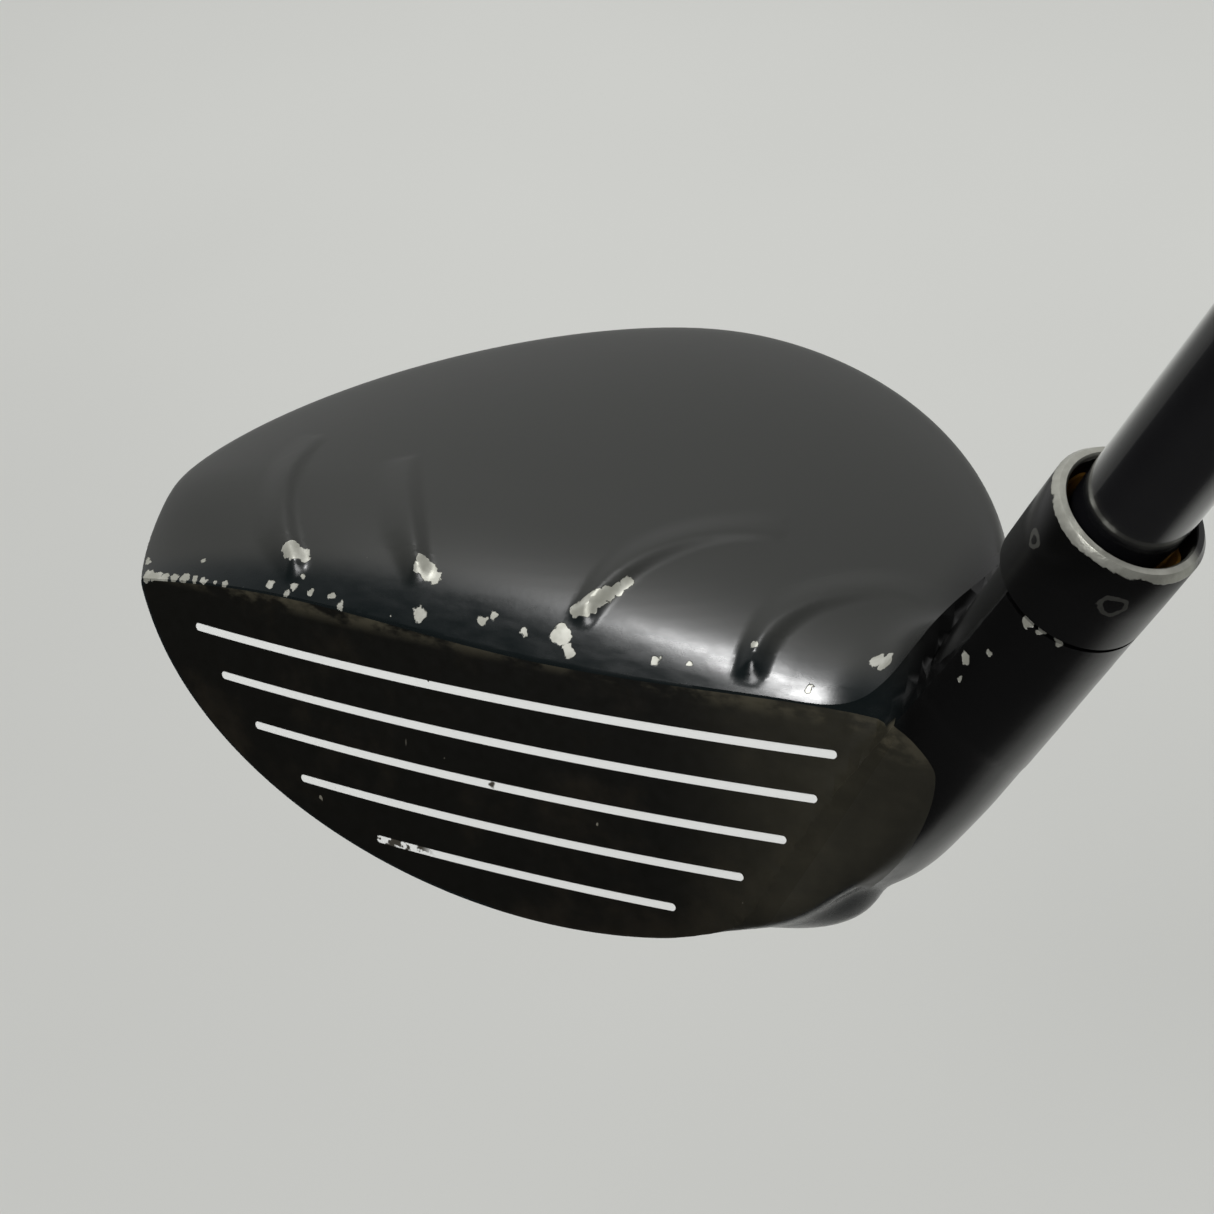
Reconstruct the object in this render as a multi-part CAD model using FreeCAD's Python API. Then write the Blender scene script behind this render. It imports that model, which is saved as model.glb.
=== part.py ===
"""Adjustable hybrid golf club: hollow head, loft sleeve with its screw, shaft and grip.

Units are millimetres and +Z is up. The club stands at address: the face looks
along -Y, the toe is at -X, and the shaft rises towards +X. The origin is on the
ground under the centre of the face.
"""

import FreeCAD, Part
import math
import os

# Face
FACE_HEIGHT = 17.0        # face centre above the ground
LOFT = 20.7               # degrees
FACE_RADIUS = 270.0       # bulge and roll
FACE_THICK = 2.4

# Plan of the head: where the belt edge runs
TOE_X = -54.2
TOE_Y = 24.8
TOE_CURVE = 0.0202
TOE_POWER = 1.55
HEEL_X = 45.8
HEEL_Y = 21.7
HEEL_CURVE = 0.007
HEEL_POWER = 1.85
REAR_X = -2.4
REAR_Y = 68.6

# Belt edge between crown and sole
EDGE_Z = 27.15
EDGE_FALL_X = 0.022
EDGE_FALL_Y = 0.030

# Crown and sole sections
CROWN_RISE = 9.7
CROWN_LIP = 3.75
CROWN_PEAK_Y = 26.7
CROWN_POWER = 2.03
CROWN_FRONT_Y = 5.5
CROWN_TOE_SHAPE = 2.2
CROWN_HEEL_SHAPE = 0.7
SOLE_DROP = 26.76
SOLE_LOW_Y = 10.4
SOLE_FRONT_CURVE = 0.0097
SOLE_POWER = 1.54
SOLE_SHAPE = 0.82
WALL = 1.7

# Crown plate joint
JOINT_LIFT = 1.6          # joint above the belt edge
JOINT_FRONT_Y = 13.5

# Score lines: height on the face, toe end and heel end
SCORE_LINES = [(9.82, -40.8, 35.5), (4.91, -37.3, 33.7), (0.0, -32.8, 30.7),
               (-4.91, -26.7, 26.3), (-9.82, -16.8, 19.0)]
SCORE_WIDTH = 0.9
SCORE_DEPTH = 0.45
PAINT_BELOW = 0.04

# The face plate ends at a line beside the hosel
FACE_HEEL_GAP = 6.0       # from the hosel axis, level
FACE_HEEL_WALL = 0.6      # metal left between the plate and the hosel bore

# Crown ridges: tip to tail in plan
RIDGES = [[(-27.4, 10.6), (-31.4, 15.6), (-34.6, 22.0), (-35.4, 30.0)],
          [(-12.0, 11.6), (-15.4, 17.0), (-19.0, 22.5), (-21.8, 27.2)],
          [(8.0, 10.8), (11.2, 17.4), (16.2, 22.8), (23.2, 26.0)],
          [(26.3, 9.4), (28.2, 15.8), (33.0, 20.8), (39.2, 23.2)]]
RIDGE_WIDTH = 4.2
RIDGE_RISE = 1.3

# Hosel: the axis leans in the XZ plane; heights run along it from HOSEL_BASE.
# Each neck section is its height, shift to the heel, shift back and radius.
LIE = 59.0                # degrees
HOSEL_BASE = (40.4, 11.8, 17.0)
HOSEL_R = 7.1
HOSEL_TOP = 34.1
HOSEL_BORE_R = 6.10
KEY_BORE_R = 4.86
KEY_SLOT_R = 5.76
KEY_TOP = 11.0
KEY_COUNT = 8
KEY_ANGLE = 18.0
WEB_TOP = 1.0
WEB_BOTTOM = -2.0
ACCESS_R = 4.3
NECK = [(-5.0, -0.6, 0.7, 7.6), (4.0, -0.9, 1.1, 8.2), (12.0, -0.8, 1.0, 8.1),
        (19.0, -0.3, 0.4, 7.5), (26.0, 0.0, 0.0, 7.1), (34.1, 0.0, 0.0, 7.1)]

# Sleeve
SLEEVE_R = 6.04
KEY_R = 4.80
KEY_TOOTH_R = 5.70
SLEEVE_BOTTOM = 3.0
COLLAR_TOP = 45.1
RECESS_BOTTOM = 38.6
RECESS_R = 5.85
BOND_GAP = 0.12
SHAFT_SEAT = 16.0
SCREW_HOLE_R = 2.55
SCREW_HOLE_TOP = 14.0

# Screw
SCREW_R = 2.45
SCREW_TOP = 12.0
SCREW_HEAD_R = 3.9
SCREW_HEAD_TALL = 4.6
SCREW_CLEAR_R = 2.8
WASHER_THICK = 0.8
WASHER_GAP = 0.03
RETAINER_THICK = 0.9

# Shaft
TIP_R = 4.90
BUTT_R = 7.62
TIP_PARALLEL = 120.0
SHAFT_END = 984.0
BORE_TIP_R = 3.0
BORE_BUTT_R = 6.45
PLUG_LENGTH = 14.0

# Grip
GRIP_MOUTH = 722.0
GRIP_MOUTH_R = 10.25
GRIP_BUTT_R = 13.1
TAPE_THICK = 0.35
CAP_R = 13.3
CAP_TOP = 989.0
VENT_R = 1.6

# Sole weight
WEIGHT_AT = (4.0, 44.0)
WEIGHT_TILT = 24.0
WEIGHT_R = 6.0
WEIGHT_TALL = 6.0
BOSS_R = 8.0

VEC = FreeCAD.Vector
LOFT_RAD = math.radians(LOFT)
FACE_CENTRE = VEC(0, 0, FACE_HEIGHT)
FACE_UP = VEC(0, math.sin(LOFT_RAD), math.cos(LOFT_RAD))
FACE_OUT = VEC(0, -math.cos(LOFT_RAD), math.sin(LOFT_RAD))
LEAN = FreeCAD.Placement(VEC(*HOSEL_BASE), FreeCAD.Rotation(VEC(0, 1, 0), 90.0 - LIE))


def plan_limits(y, inset=0.0):
    """Toe and heel x of the belt edge at depth y."""
    rear = REAR_Y - inset
    limits = []
    for edge_x, edge_y, curve, power, side in ((TOE_X, TOE_Y, TOE_CURVE, TOE_POWER, -1.0),
                                               (HEEL_X, HEEL_Y, HEEL_CURVE, HEEL_POWER, 1.0)):
        edge = edge_x - side * inset
        if y <= edge_y:
            limits.append(edge - side * curve * (edge_y - y) ** 2)
        else:
            share = min(1.0, (y - edge_y) / (rear - edge_y))
            reach = (1.0 - share ** power) ** (1.0 / power)
            limits.append(REAR_X + (edge - REAR_X) * reach)
    return limits


def edge_height(x, y):
    """Height of the belt edge."""
    return EDGE_Z - EDGE_FALL_X * x - EDGE_FALL_Y * y


def crown_rise(y, inset=0.0):
    """Height of the crown above the belt edge, at mid width."""
    if y <= CROWN_PEAK_Y:
        share = (y - CROWN_FRONT_Y) / (CROWN_PEAK_Y - CROWN_FRONT_Y)
        rise = CROWN_RISE - (CROWN_RISE - CROWN_LIP) * max(0.0, 1.0 - share) ** 3.2
    else:
        share = min(1.0, (y - CROWN_PEAK_Y) / (REAR_Y - inset - CROWN_PEAK_Y))
        rise = CROWN_RISE * (1.0 - share ** CROWN_POWER) ** (1.0 / CROWN_POWER)
    return max(rise - inset, 0.3)


def sole_drop(y, inset=0.0):
    """Depth of the sole under the belt edge, at mid width."""
    if y <= SOLE_LOW_Y:
        drop = SOLE_DROP - SOLE_FRONT_CURVE * (SOLE_LOW_Y - y) ** 2
    else:
        share = min(1.0, (y - SOLE_LOW_Y) / (REAR_Y - inset - SOLE_LOW_Y))
        drop = SOLE_DROP * (1.0 - share ** SOLE_POWER) ** (1.0 / SOLE_POWER)
    return max(drop - inset, 0.3)


def crown_shape(y, across):
    """Fullness of the crown section: small is full, large is lean."""
    share = min(1.0, max(0.0, (y - 6.0) / 18.0))
    blend = share * share * (3.0 - 2.0 * share)
    middle = (CROWN_TOE_SHAPE + CROWN_HEEL_SHAPE) / 2.0
    half = (CROWN_TOE_SHAPE - CROWN_HEEL_SHAPE) / 2.0
    return (middle - half * across) * (1.0 - blend) + 0.9 * blend


def crown_height(x, y, inset=0.0):
    """Height of the crown surface over a plan point."""
    toe, heel = plan_limits(y, inset)
    across = (x - (toe + heel) / 2.0) / ((heel - toe) / 2.0)
    across = min(0.999, max(-0.999, across))
    up = math.sqrt(1.0 - across ** 2) ** crown_shape(y, across)
    return edge_height(x, y) + crown_rise(y, inset) * up


def head_section(y, inset, steps=14):
    """Closed section of the head at depth y: crown arc and sole arc."""
    toe, heel = plan_limits(y, inset)
    middle = (toe + heel) / 2.0
    half = (heel - toe) / 2.0
    crown = []
    sole = []
    for step in range(steps + 1):
        turn = math.pi * step / steps
        across = math.cos(turn)
        up = max(0.0, math.sin(turn))
        x = middle + half * across
        edge = edge_height(x, y)
        crown.append(VEC(x, y, edge + crown_rise(y, inset) * up ** crown_shape(y, across)))
        sole.append(VEC(x, y, edge - sole_drop(y, inset) * up ** SOLE_SHAPE))
    edges = []
    for points in (crown, list(reversed(sole))):
        curve = Part.BSplineCurve()
        curve.interpolate(points)
        edges.append(curve.toShape())
    return Part.Wire(edges)


def head_solid(inset=0.0):
    """Head without its hosel, from in front of the face to the rear edge."""
    front = -12.0
    depths = [front, -6.0, -1.0, 4.0, 9.0, 14.0, 19.0]
    rear = REAR_Y - inset
    for step in range(1, 11):
        depths.append(19.0 + (rear - 19.0) * math.sin(step / 10.6 * math.pi / 2.0))
    sections = [head_section(y, inset) for y in depths]
    return Part.makeLoft(sections, True, False)


def face_ball(depth=0.0):
    """Ball whose front is the bulged face, moved back by depth."""
    centre = FACE_CENTRE - FACE_OUT * FACE_RADIUS
    return Part.makeSphere(FACE_RADIUS - depth, centre)


def on_face(x, v, out=0.0):
    """Point of the flat plane through the face centre, moved out along its normal."""
    return FACE_CENTRE + VEC(x, 0, 0) + FACE_UP * v + FACE_OUT * out


def face_block():
    """Block over the face plate, ended beside the hosel by a line along its axis."""
    slope = math.cos(LOFT_RAD) / math.tan(math.radians(LIE))
    heel_x = HOSEL_BASE[0] - FACE_HEEL_GAP
    high, low = 40.0, -40.0
    corners = [on_face(-90.0, low, -20.0), on_face(heel_x + slope * low, low, -20.0),
               on_face(heel_x + slope * high, high, -20.0), on_face(-90.0, high, -20.0)]
    corners.append(corners[0])
    block = Part.Face(Part.makePolygon(corners)).extrude(FACE_OUT * 40.0)
    return block.cut(lean(ring(HOSEL_BORE_R + FACE_HEEL_WALL, 0.0, -30.0, 60.0)))


def score_slot(v, toe, heel):
    """Round-ended prism through the face for one score line."""
    r = SCORE_WIDTH / 2.0
    a, b = on_face(toe + r, v + r, -9.0), on_face(heel - r, v + r, -9.0)
    c, d = on_face(heel - r, v - r, -9.0), on_face(toe + r, v - r, -9.0)
    edges = [Part.makeLine(a, b),
             Part.Arc(b, on_face(heel, v, -9.0), c).toShape(),
             Part.makeLine(c, d),
             Part.Arc(d, on_face(toe, v, -9.0), a).toShape()]
    return Part.Face(Part.Wire(edges)).extrude(FACE_OUT * 14.0)


def ring(outer, inner, low, high):
    """Tube along the hosel axis, before leaning; inner 0 gives a rod."""
    solid = Part.makeCylinder(outer, high - low, VEC(0, 0, low))
    if inner > 0.0:
        solid = solid.cut(Part.makeCylinder(inner, high - low, VEC(0, 0, low)))
    return solid


def spun(profile):
    """Solid turned round the hosel axis from radius and height pairs."""
    points = [VEC(r, 0, z) for r, z in profile]
    points.append(points[0])
    face = Part.Face(Part.makePolygon(points))
    return face.revolve(VEC(0, 0, 0), VEC(0, 0, 1), 360)


def lean(shape):
    """Put an upright shape on the hosel axis."""
    placed = shape.copy()
    placed.Placement = LEAN.multiply(placed.Placement)
    return placed


def key_ring(root, tooth, low, high):
    """Round core with evenly spaced keys."""
    solid = Part.makeCylinder(root, high - low, VEC(0, 0, low))
    for index in range(KEY_COUNT):
        wedge = Part.makeCylinder(tooth, high - low, VEC(0, 0, low), VEC(0, 0, 1), KEY_ANGLE)
        wedge.rotate(VEC(0, 0, 0), VEC(0, 0, 1), index * 360.0 / KEY_COUNT - KEY_ANGLE / 2.0)
        solid = solid.fuse(wedge)
    return solid.removeSplitter()


def neck_solid():
    """Hosel outside, flared towards the head."""
    wires = []
    for height, over, back, radius in NECK:
        wires.append(Part.Wire(Part.makeCircle(radius, VEC(over, back, height))))
    return Part.makeLoft(wires, True, False)


def ridge_solid(path):
    """One crown ridge: blunt and tall at the front tip, fading at the tail."""
    curve = Part.BSplineCurve()
    curve.interpolate([VEC(x, y, 0) for x, y in path])
    first, last = curve.FirstParameter, curve.LastParameter
    wires = []
    for share in (0.0, 0.04, 0.12, 0.25, 0.4, 0.55, 0.7, 0.85, 1.0):
        at = curve.value(first + (last - first) * share)
        along = curve.tangent(first + (last - first) * share)[0]
        side = VEC(along.y, -along.x, 0)
        grow = min(1.0, 0.35 + math.sqrt(share / 0.12) * 0.65)
        half = RIDGE_WIDTH / 2.0 * grow * (1.0 - 0.55 * share)
        rise = RIDGE_RISE * grow * (1.0 - share) ** 0.8 - 0.25
        left, right = at + side * half, at - side * half
        left.z = crown_height(left.x, left.y) - 0.6
        right.z = crown_height(right.x, right.y) - 0.6
        top = VEC(at.x, at.y, crown_height(at.x, at.y) + rise)
        wires.append(Part.Wire([Part.Arc(left, top, right).toShape(),
                                Part.makeLine(right, left)]))
    return Part.makeLoft(wires, True, False)


def joint_block():
    """Space above the crown joint and behind its front line."""
    points = []
    for x, y in ((-80.0, JOINT_FRONT_Y), (30.0, JOINT_FRONT_Y), (36.0, 24.0), (60.0, 30.0),
                 (60.0, 90.0), (-80.0, 90.0)):
        points.append(VEC(x, y, edge_height(x, y) + JOINT_LIFT))
    points.append(points[0])
    return Part.Face(Part.makePolygon(points)).extrude(VEC(0, 0, 60))


def weight_placement():
    """Frame of the sole weight: +Z runs into the head."""
    x, y = WEIGHT_AT
    z = edge_height(x, y) - sole_drop(y)
    turn = FreeCAD.Rotation(VEC(1, 0, 0), WEIGHT_TILT)
    return FreeCAD.Placement(VEC(x, y, z), turn)


def build_head(parts):
    """Face, crown, body, paint and sole weight."""
    outer = head_solid().common(face_ball())
    inner = head_solid(WALL).common(face_ball(FACE_THICK))
    layer = outer.cut(face_ball(FACE_THICK))
    plate_blank = layer.common(face_block())
    plate = plate_blank
    slots = [score_slot(*line) for line in SCORE_LINES]
    deep = face_ball(SCORE_DEPTH)
    flush = face_ball(PAINT_BELOW)
    paint = []
    for slot in slots:
        paint.append(slot.common(flush).cut(deep))
        plate = plate.cut(slot.cut(deep))
    parts["face_plate"] = plate
    parts["score_line_paint"] = Part.makeCompound(paint)

    shell = outer.cut(plate_blank).cut(inner)
    keep_out = lean(ring(11.0, 0.0, -30.0, 60.0))
    block = joint_block().cut(keep_out)
    crown = shell.common(block)
    shell = shell.cut(block)
    for path in RIDGES:
        crown = crown.fuse(ridge_solid(path).cut(inner))
    parts["crown_plate"] = crown

    place = weight_placement()
    boss = Part.makeCylinder(BOSS_R, 14.0, VEC(0, 0, -4.0))
    pocket = Part.makeCylinder(WEIGHT_R, 4.0 + WEIGHT_TALL, VEC(0, 0, -4.0))
    weight = Part.makeCylinder(WEIGHT_R, WEIGHT_TALL - 0.5, VEC(0, 0, 0.5))
    key = Part.makePolygon([VEC(2.3 * math.cos(math.radians(60 * i)),
                                2.3 * math.sin(math.radians(60 * i)), 0.0) for i in range(7)])
    weight = weight.cut(Part.Face(key).extrude(VEC(0, 0, 3.0)))
    for shape in (boss, pocket, weight):
        shape.Placement = place
    parts["rear_weight"] = weight

    tube = lean(ring(HOSEL_R, 0.0, -30.0, 12.0)).common(outer)
    body = shell.fuse(boss.common(outer)).fuse(tube).fuse(lean(neck_solid()))
    body = body.cut(pocket)
    bore = ring(HOSEL_BORE_R, 0.0, KEY_TOP, HOSEL_TOP + 5.0)
    bore = bore.fuse(key_ring(KEY_BORE_R, KEY_SLOT_R, WEB_TOP, KEY_TOP))
    bore = bore.fuse(ring(SCREW_CLEAR_R, 0.0, -30.0, KEY_TOP))
    bore = bore.fuse(ring(ACCESS_R, 0.0, -30.0, WEB_BOTTOM))
    body = body.cut(lean(bore))
    body = body.cut(plate_blank).cut(crown)
    parts["head_body"] = body


def build_sleeve(parts):
    """Loft sleeve, its bond ring, screw, washer and retainer."""
    sleeve = ring(SLEEVE_R, 0.0, KEY_TOP + 0.2, HOSEL_TOP)
    sleeve = sleeve.fuse(key_ring(KEY_R, KEY_TOOTH_R, SLEEVE_BOTTOM, KEY_TOP + 0.2))
    sleeve = sleeve.fuse(ring(HOSEL_R, 0.0, HOSEL_TOP, COLLAR_TOP))
    bond_r = TIP_R + BOND_GAP
    sleeve = sleeve.cut(ring(bond_r, 0.0, SHAFT_SEAT, COLLAR_TOP))
    sleeve = sleeve.cut(ring(RECESS_R, 0.0, RECESS_BOTTOM, COLLAR_TOP))
    sleeve = sleeve.cut(ring(SCREW_HOLE_R, 0.0, SLEEVE_BOTTOM, SCREW_HOLE_TOP))
    parts["adapter_sleeve"] = lean(sleeve.removeSplitter())
    bond = spun([(TIP_R, SHAFT_SEAT), (bond_r, SHAFT_SEAT), (bond_r, RECESS_BOTTOM),
                 (RECESS_R, RECESS_BOTTOM), (RECESS_R, RECESS_BOTTOM + 1.6),
                 (TIP_R, RECESS_BOTTOM + 0.7)])
    parts["sleeve_epoxy"] = lean(bond)

    seat = WEB_BOTTOM - WASHER_THICK
    washer = ring(SCREW_HEAD_R, SCREW_R, seat, WEB_BOTTOM - WASHER_GAP)
    head = ring(SCREW_HEAD_R, 0.0, seat - SCREW_HEAD_TALL, seat)
    screw = head.fuse(ring(SCREW_R, 0.0, seat, SCREW_TOP))
    drive = Part.makePolygon([VEC(2.2 * math.cos(math.radians(60 * i)),
                                  2.2 * math.sin(math.radians(60 * i)),
                                  seat - SCREW_HEAD_TALL) for i in range(7)])
    screw = screw.cut(Part.Face(drive).extrude(VEC(0, 0, 3.0)))
    parts["adapter_screw"] = lean(screw)
    parts["screw_washer"] = lean(washer)
    retainer = ring(KEY_R - 0.4, SCREW_R + 0.05, WEB_TOP + 0.05, WEB_TOP + RETAINER_THICK)
    parts["screw_retainer"] = lean(retainer)


def shaft_radius(height):
    """Outside radius of the shaft at a height along it."""
    if height <= TIP_PARALLEL:
        return TIP_R
    share = (height - TIP_PARALLEL) / (SHAFT_END - TIP_PARALLEL)
    return TIP_R + (BUTT_R - TIP_R) * share


def build_shaft(parts):
    """Tapered tube and the plug in its tip."""
    low, high = SHAFT_SEAT, SHAFT_END
    tube = spun([(BORE_TIP_R, low), (TIP_R, low), (TIP_R, TIP_PARALLEL), (BUTT_R, high),
                 (BORE_BUTT_R, high), (BORE_TIP_R, TIP_PARALLEL)])
    parts["shaft"] = lean(tube)
    parts["shaft_tip_plug"] = lean(ring(BORE_TIP_R, 0.0, low + 2.0, low + 2.0 + PLUG_LENGTH))


def build_grip(parts):
    """Tape, rubber sleeve and end cap."""
    mouth, top = GRIP_MOUTH, SHAFT_END
    start = mouth + 3.0
    tape = spun([(shaft_radius(start), start), (shaft_radius(start) + TAPE_THICK, start),
                 (BUTT_R + TAPE_THICK, top), (BUTT_R, top)])
    parts["grip_tape"] = lean(tape)
    low_r = shaft_radius(mouth) + TAPE_THICK
    top_r = BUTT_R + TAPE_THICK
    start_r = shaft_radius(start) + TAPE_THICK
    rubber = spun([(low_r, mouth + 0.6), (low_r + 0.5, mouth), (GRIP_MOUTH_R - 0.8, mouth),
                   (GRIP_MOUTH_R, mouth + 0.8), (GRIP_MOUTH_R, mouth + 14.0),
                   (GRIP_MOUTH_R - 0.3, mouth + 15.0), (GRIP_BUTT_R - 0.6, top - 16.0),
                   (GRIP_BUTT_R, top - 4.0), (GRIP_BUTT_R, top), (top_r, top), (start_r, start),
                   (low_r, start)])
    parts["grip"] = lean(rubber)
    cap = spun([(VENT_R, top), (CAP_R - 0.4, top), (CAP_R, top + 0.5),
                (CAP_R, top + 2.6), (CAP_R - 0.9, top + 3.9), (CAP_R - 2.4, CAP_TOP - 0.4),
                (8.0, CAP_TOP), (VENT_R, CAP_TOP)])
    parts["grip_cap"] = lean(cap)


def main():
    """Build every node and write one file for each."""
    os.makedirs("parts", exist_ok=True)
    parts = {}
    build_head(parts)
    build_sleeve(parts)
    build_shaft(parts)
    build_grip(parts)
    for name, shape in parts.items():
        shape.exportStep("parts/" + name + ".step")
        box = shape.BoundBox
        print(name, "solids", len(shape.Solids), "valid", shape.isValid(),
              "volume", round(shape.Volume, 1),
              "z", round(box.ZMin, 2), round(box.ZMax, 2))


main()
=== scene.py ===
"""Looks of the adjustable hybrid golf club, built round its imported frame.

Everything is in metres in the club's own frame: +Z is up, the face looks along
-Y, the toe is at -X and the shaft rises towards +X.
"""

import logging
import math
from dataclasses import dataclass, field
from enum import Enum
from typing import Any, Callable, Sequence

import bmesh
import bpy
import numpy as np
from mathutils import Matrix, Vector
from mathutils.bvhtree import BVHTree


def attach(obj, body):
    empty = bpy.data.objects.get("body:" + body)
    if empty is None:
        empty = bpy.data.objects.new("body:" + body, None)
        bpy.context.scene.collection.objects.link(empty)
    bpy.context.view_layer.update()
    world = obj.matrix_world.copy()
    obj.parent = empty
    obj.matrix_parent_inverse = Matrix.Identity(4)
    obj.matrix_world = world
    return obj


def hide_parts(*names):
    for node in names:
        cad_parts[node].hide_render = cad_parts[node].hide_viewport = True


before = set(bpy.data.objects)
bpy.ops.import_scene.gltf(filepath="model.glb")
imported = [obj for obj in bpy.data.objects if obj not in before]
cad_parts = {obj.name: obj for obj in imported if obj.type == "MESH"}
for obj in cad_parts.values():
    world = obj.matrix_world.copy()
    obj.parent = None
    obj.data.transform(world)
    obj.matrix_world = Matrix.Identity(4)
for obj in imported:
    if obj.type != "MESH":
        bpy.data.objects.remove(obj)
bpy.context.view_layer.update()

LOG = logging.getLogger("hybrid_club")
MM = 0.001
Pair = tuple[float, float]


class Cut(Enum):
    """How one solid changes another."""

    REMOVE = "DIFFERENCE"
    KEEP_SHARED = "INTERSECT"
    JOIN = "UNION"


class Body(Enum):
    """The moving bodies that new pieces ride on."""

    HANDLE = "handle"
    HEAD = "head"


# ---------------------------------------------------------------- mesh tools


def to_object(bm: bmesh.types.BMesh, name: str) -> bpy.types.Object:
    """Turn a bmesh into a linked object at the origin and free it.

    Args:
        bm: Mesh data, freed here.
        name: Name of the piece.

    Returns:
        The new object.
    """
    mesh = bpy.data.meshes.new(name)
    bm.to_mesh(mesh)
    bm.free()
    piece = bpy.data.objects.new(name, mesh)
    bpy.context.scene.collection.objects.link(piece)
    return piece


def discard(piece: bpy.types.Object) -> None:
    """Delete a helper object and its mesh.

    Args:
        piece: The helper.
    """
    mesh = piece.data
    bpy.data.objects.remove(piece)
    bpy.data.meshes.remove(mesh)


def bake_modifiers(piece: bpy.types.Object) -> None:
    """Replace a piece's mesh by what its modifiers make of it.

    Args:
        piece: Object whose modifiers are used up.
    """
    graph = bpy.context.evaluated_depsgraph_get()
    done = bpy.data.meshes.new_from_object(piece.evaluated_get(graph))
    piece.modifiers.clear()
    old = piece.data
    done.name = old.name
    piece.data = done
    bpy.data.meshes.remove(old)


def carve(piece: bpy.types.Object, tool: bpy.types.Object, cut: Cut, keep_tool: bool = False) -> None:
    """Apply one solid to another.

    Args:
        piece: Solid that changes.
        tool: Solid that cuts or joins it.
        cut: What the tool does.
        keep_tool: True to leave the tool in the scene for another cut.
    """
    step = piece.modifiers.new("carve", "BOOLEAN")
    step.object = tool
    step.operation = cut.value
    step.solver = "MANIFOLD"
    bake_modifiers(piece)
    if not keep_tool:
        discard(tool)


def copy_of(piece: bpy.types.Object, name: str) -> bpy.types.Object:
    """Linked copy of a piece with its own mesh.

    Args:
        piece: Object to copy.
        name: Name of the copy.

    Returns:
        The copy.
    """
    twin = bpy.data.objects.new(name, piece.data.copy())
    bpy.context.scene.collection.objects.link(twin)
    return twin


def move_points(piece: bpy.types.Object, change: Callable[[np.ndarray], np.ndarray]) -> None:
    """Pass all of a mesh's points through a function.

    Args:
        piece: Object whose mesh changes.
        change: Takes and gives an array of points, one row each.
    """
    points = np.empty(len(piece.data.vertices) * 3)
    piece.data.vertices.foreach_get("co", points)
    piece.data.vertices.foreach_set("co", change(points.reshape(-1, 3)).ravel())
    piece.data.update()


def spun(profile: Sequence[Pair], steps: int, closed: bool = False) -> bmesh.types.BMesh:
    """Turn a profile of (radius, height) points about Z.

    Args:
        profile: Points from one end to the other.
        steps: Number of facets round the axis.
        closed: True where the last point joins the first.

    Returns:
        A closed mesh with outward normals.
    """
    bm = bmesh.new()
    verts = [bm.verts.new((r, 0.0, z)) for r, z in profile]
    pairs = list(zip(verts, verts[1:]))
    if closed:
        pairs.append((verts[-1], verts[0]))
    edges = [bm.edges.new(pair) for pair in pairs]
    bmesh.ops.spin(bm, geom=verts + edges, cent=(0, 0, 0), axis=(0, 0, 1), dvec=(0, 0, 0),
                   angle=math.tau, steps=steps, use_merge=True)
    bmesh.ops.remove_doubles(bm, verts=bm.verts, dist=1e-7)
    bmesh.ops.recalc_face_normals(bm, faces=bm.faces)
    return bm


def rounded(profile: Sequence[Pair], radius: float, steps: int = 3) -> list[Pair]:
    """Round the inner corners of an open profile with short curves.

    Args:
        profile: Corner points.
        radius: Largest distance a curve starts from its corner.
        steps: Pieces in each curve.

    Returns:
        The profile with its corners rounded.
    """
    points = [profile[0]]
    for before, corner, after in zip(profile, profile[1:], profile[2:]):
        a, b, c = Vector(before), Vector(corner), Vector(after)
        reach = min(radius, 0.45 * (b - a).length, 0.45 * (c - b).length)
        start = b + (a - b).normalized() * reach
        end = b + (c - b).normalized() * reach
        for step in range(steps + 1):
            t = step / steps
            spot = start * (1 - t) ** 2 + b * 2 * t * (1 - t) + end * t * t
            points.append((spot.x, spot.y))
    points.append(profile[-1])
    return points


def smooth_look(piece: bpy.types.Object, angle: float = 32.0) -> None:
    """Shade a piece smooth and keep its sharp edges crisp.

    Args:
        piece: Object to shade.
        angle: Least angle of a crisp edge, in degrees.
    """
    for face in piece.data.polygons:
        face.use_smooth = True
    piece.data.set_sharp_from_angle(angle=math.radians(angle))


def share_smooth(value: np.ndarray) -> np.ndarray:
    """Smooth step of values clamped to 0 and 1."""
    value = np.clip(value, 0.0, 1.0)
    return value * value * (3.0 - 2.0 * value)


def fit(piece: bpy.types.Object, body: Body, nodes: Sequence[str], material: Any) -> None:
    """Dress a finished piece, hide the CAD nodes it stands for and hang it on its body.

    Args:
        piece: The finished object.
        body: Body it moves with.
        nodes: CAD nodes it stands for.
        material: Material it wears.
    """
    piece.data.materials.clear()
    piece.data.materials.append(material)
    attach(piece, body.value)
    if nodes:
        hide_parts(*nodes)
    LOG.info("%s: %d faces on %s", piece.name, len(piece.data.polygons), body.value)


# -------------------------------------------------------------- shader maths


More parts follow.
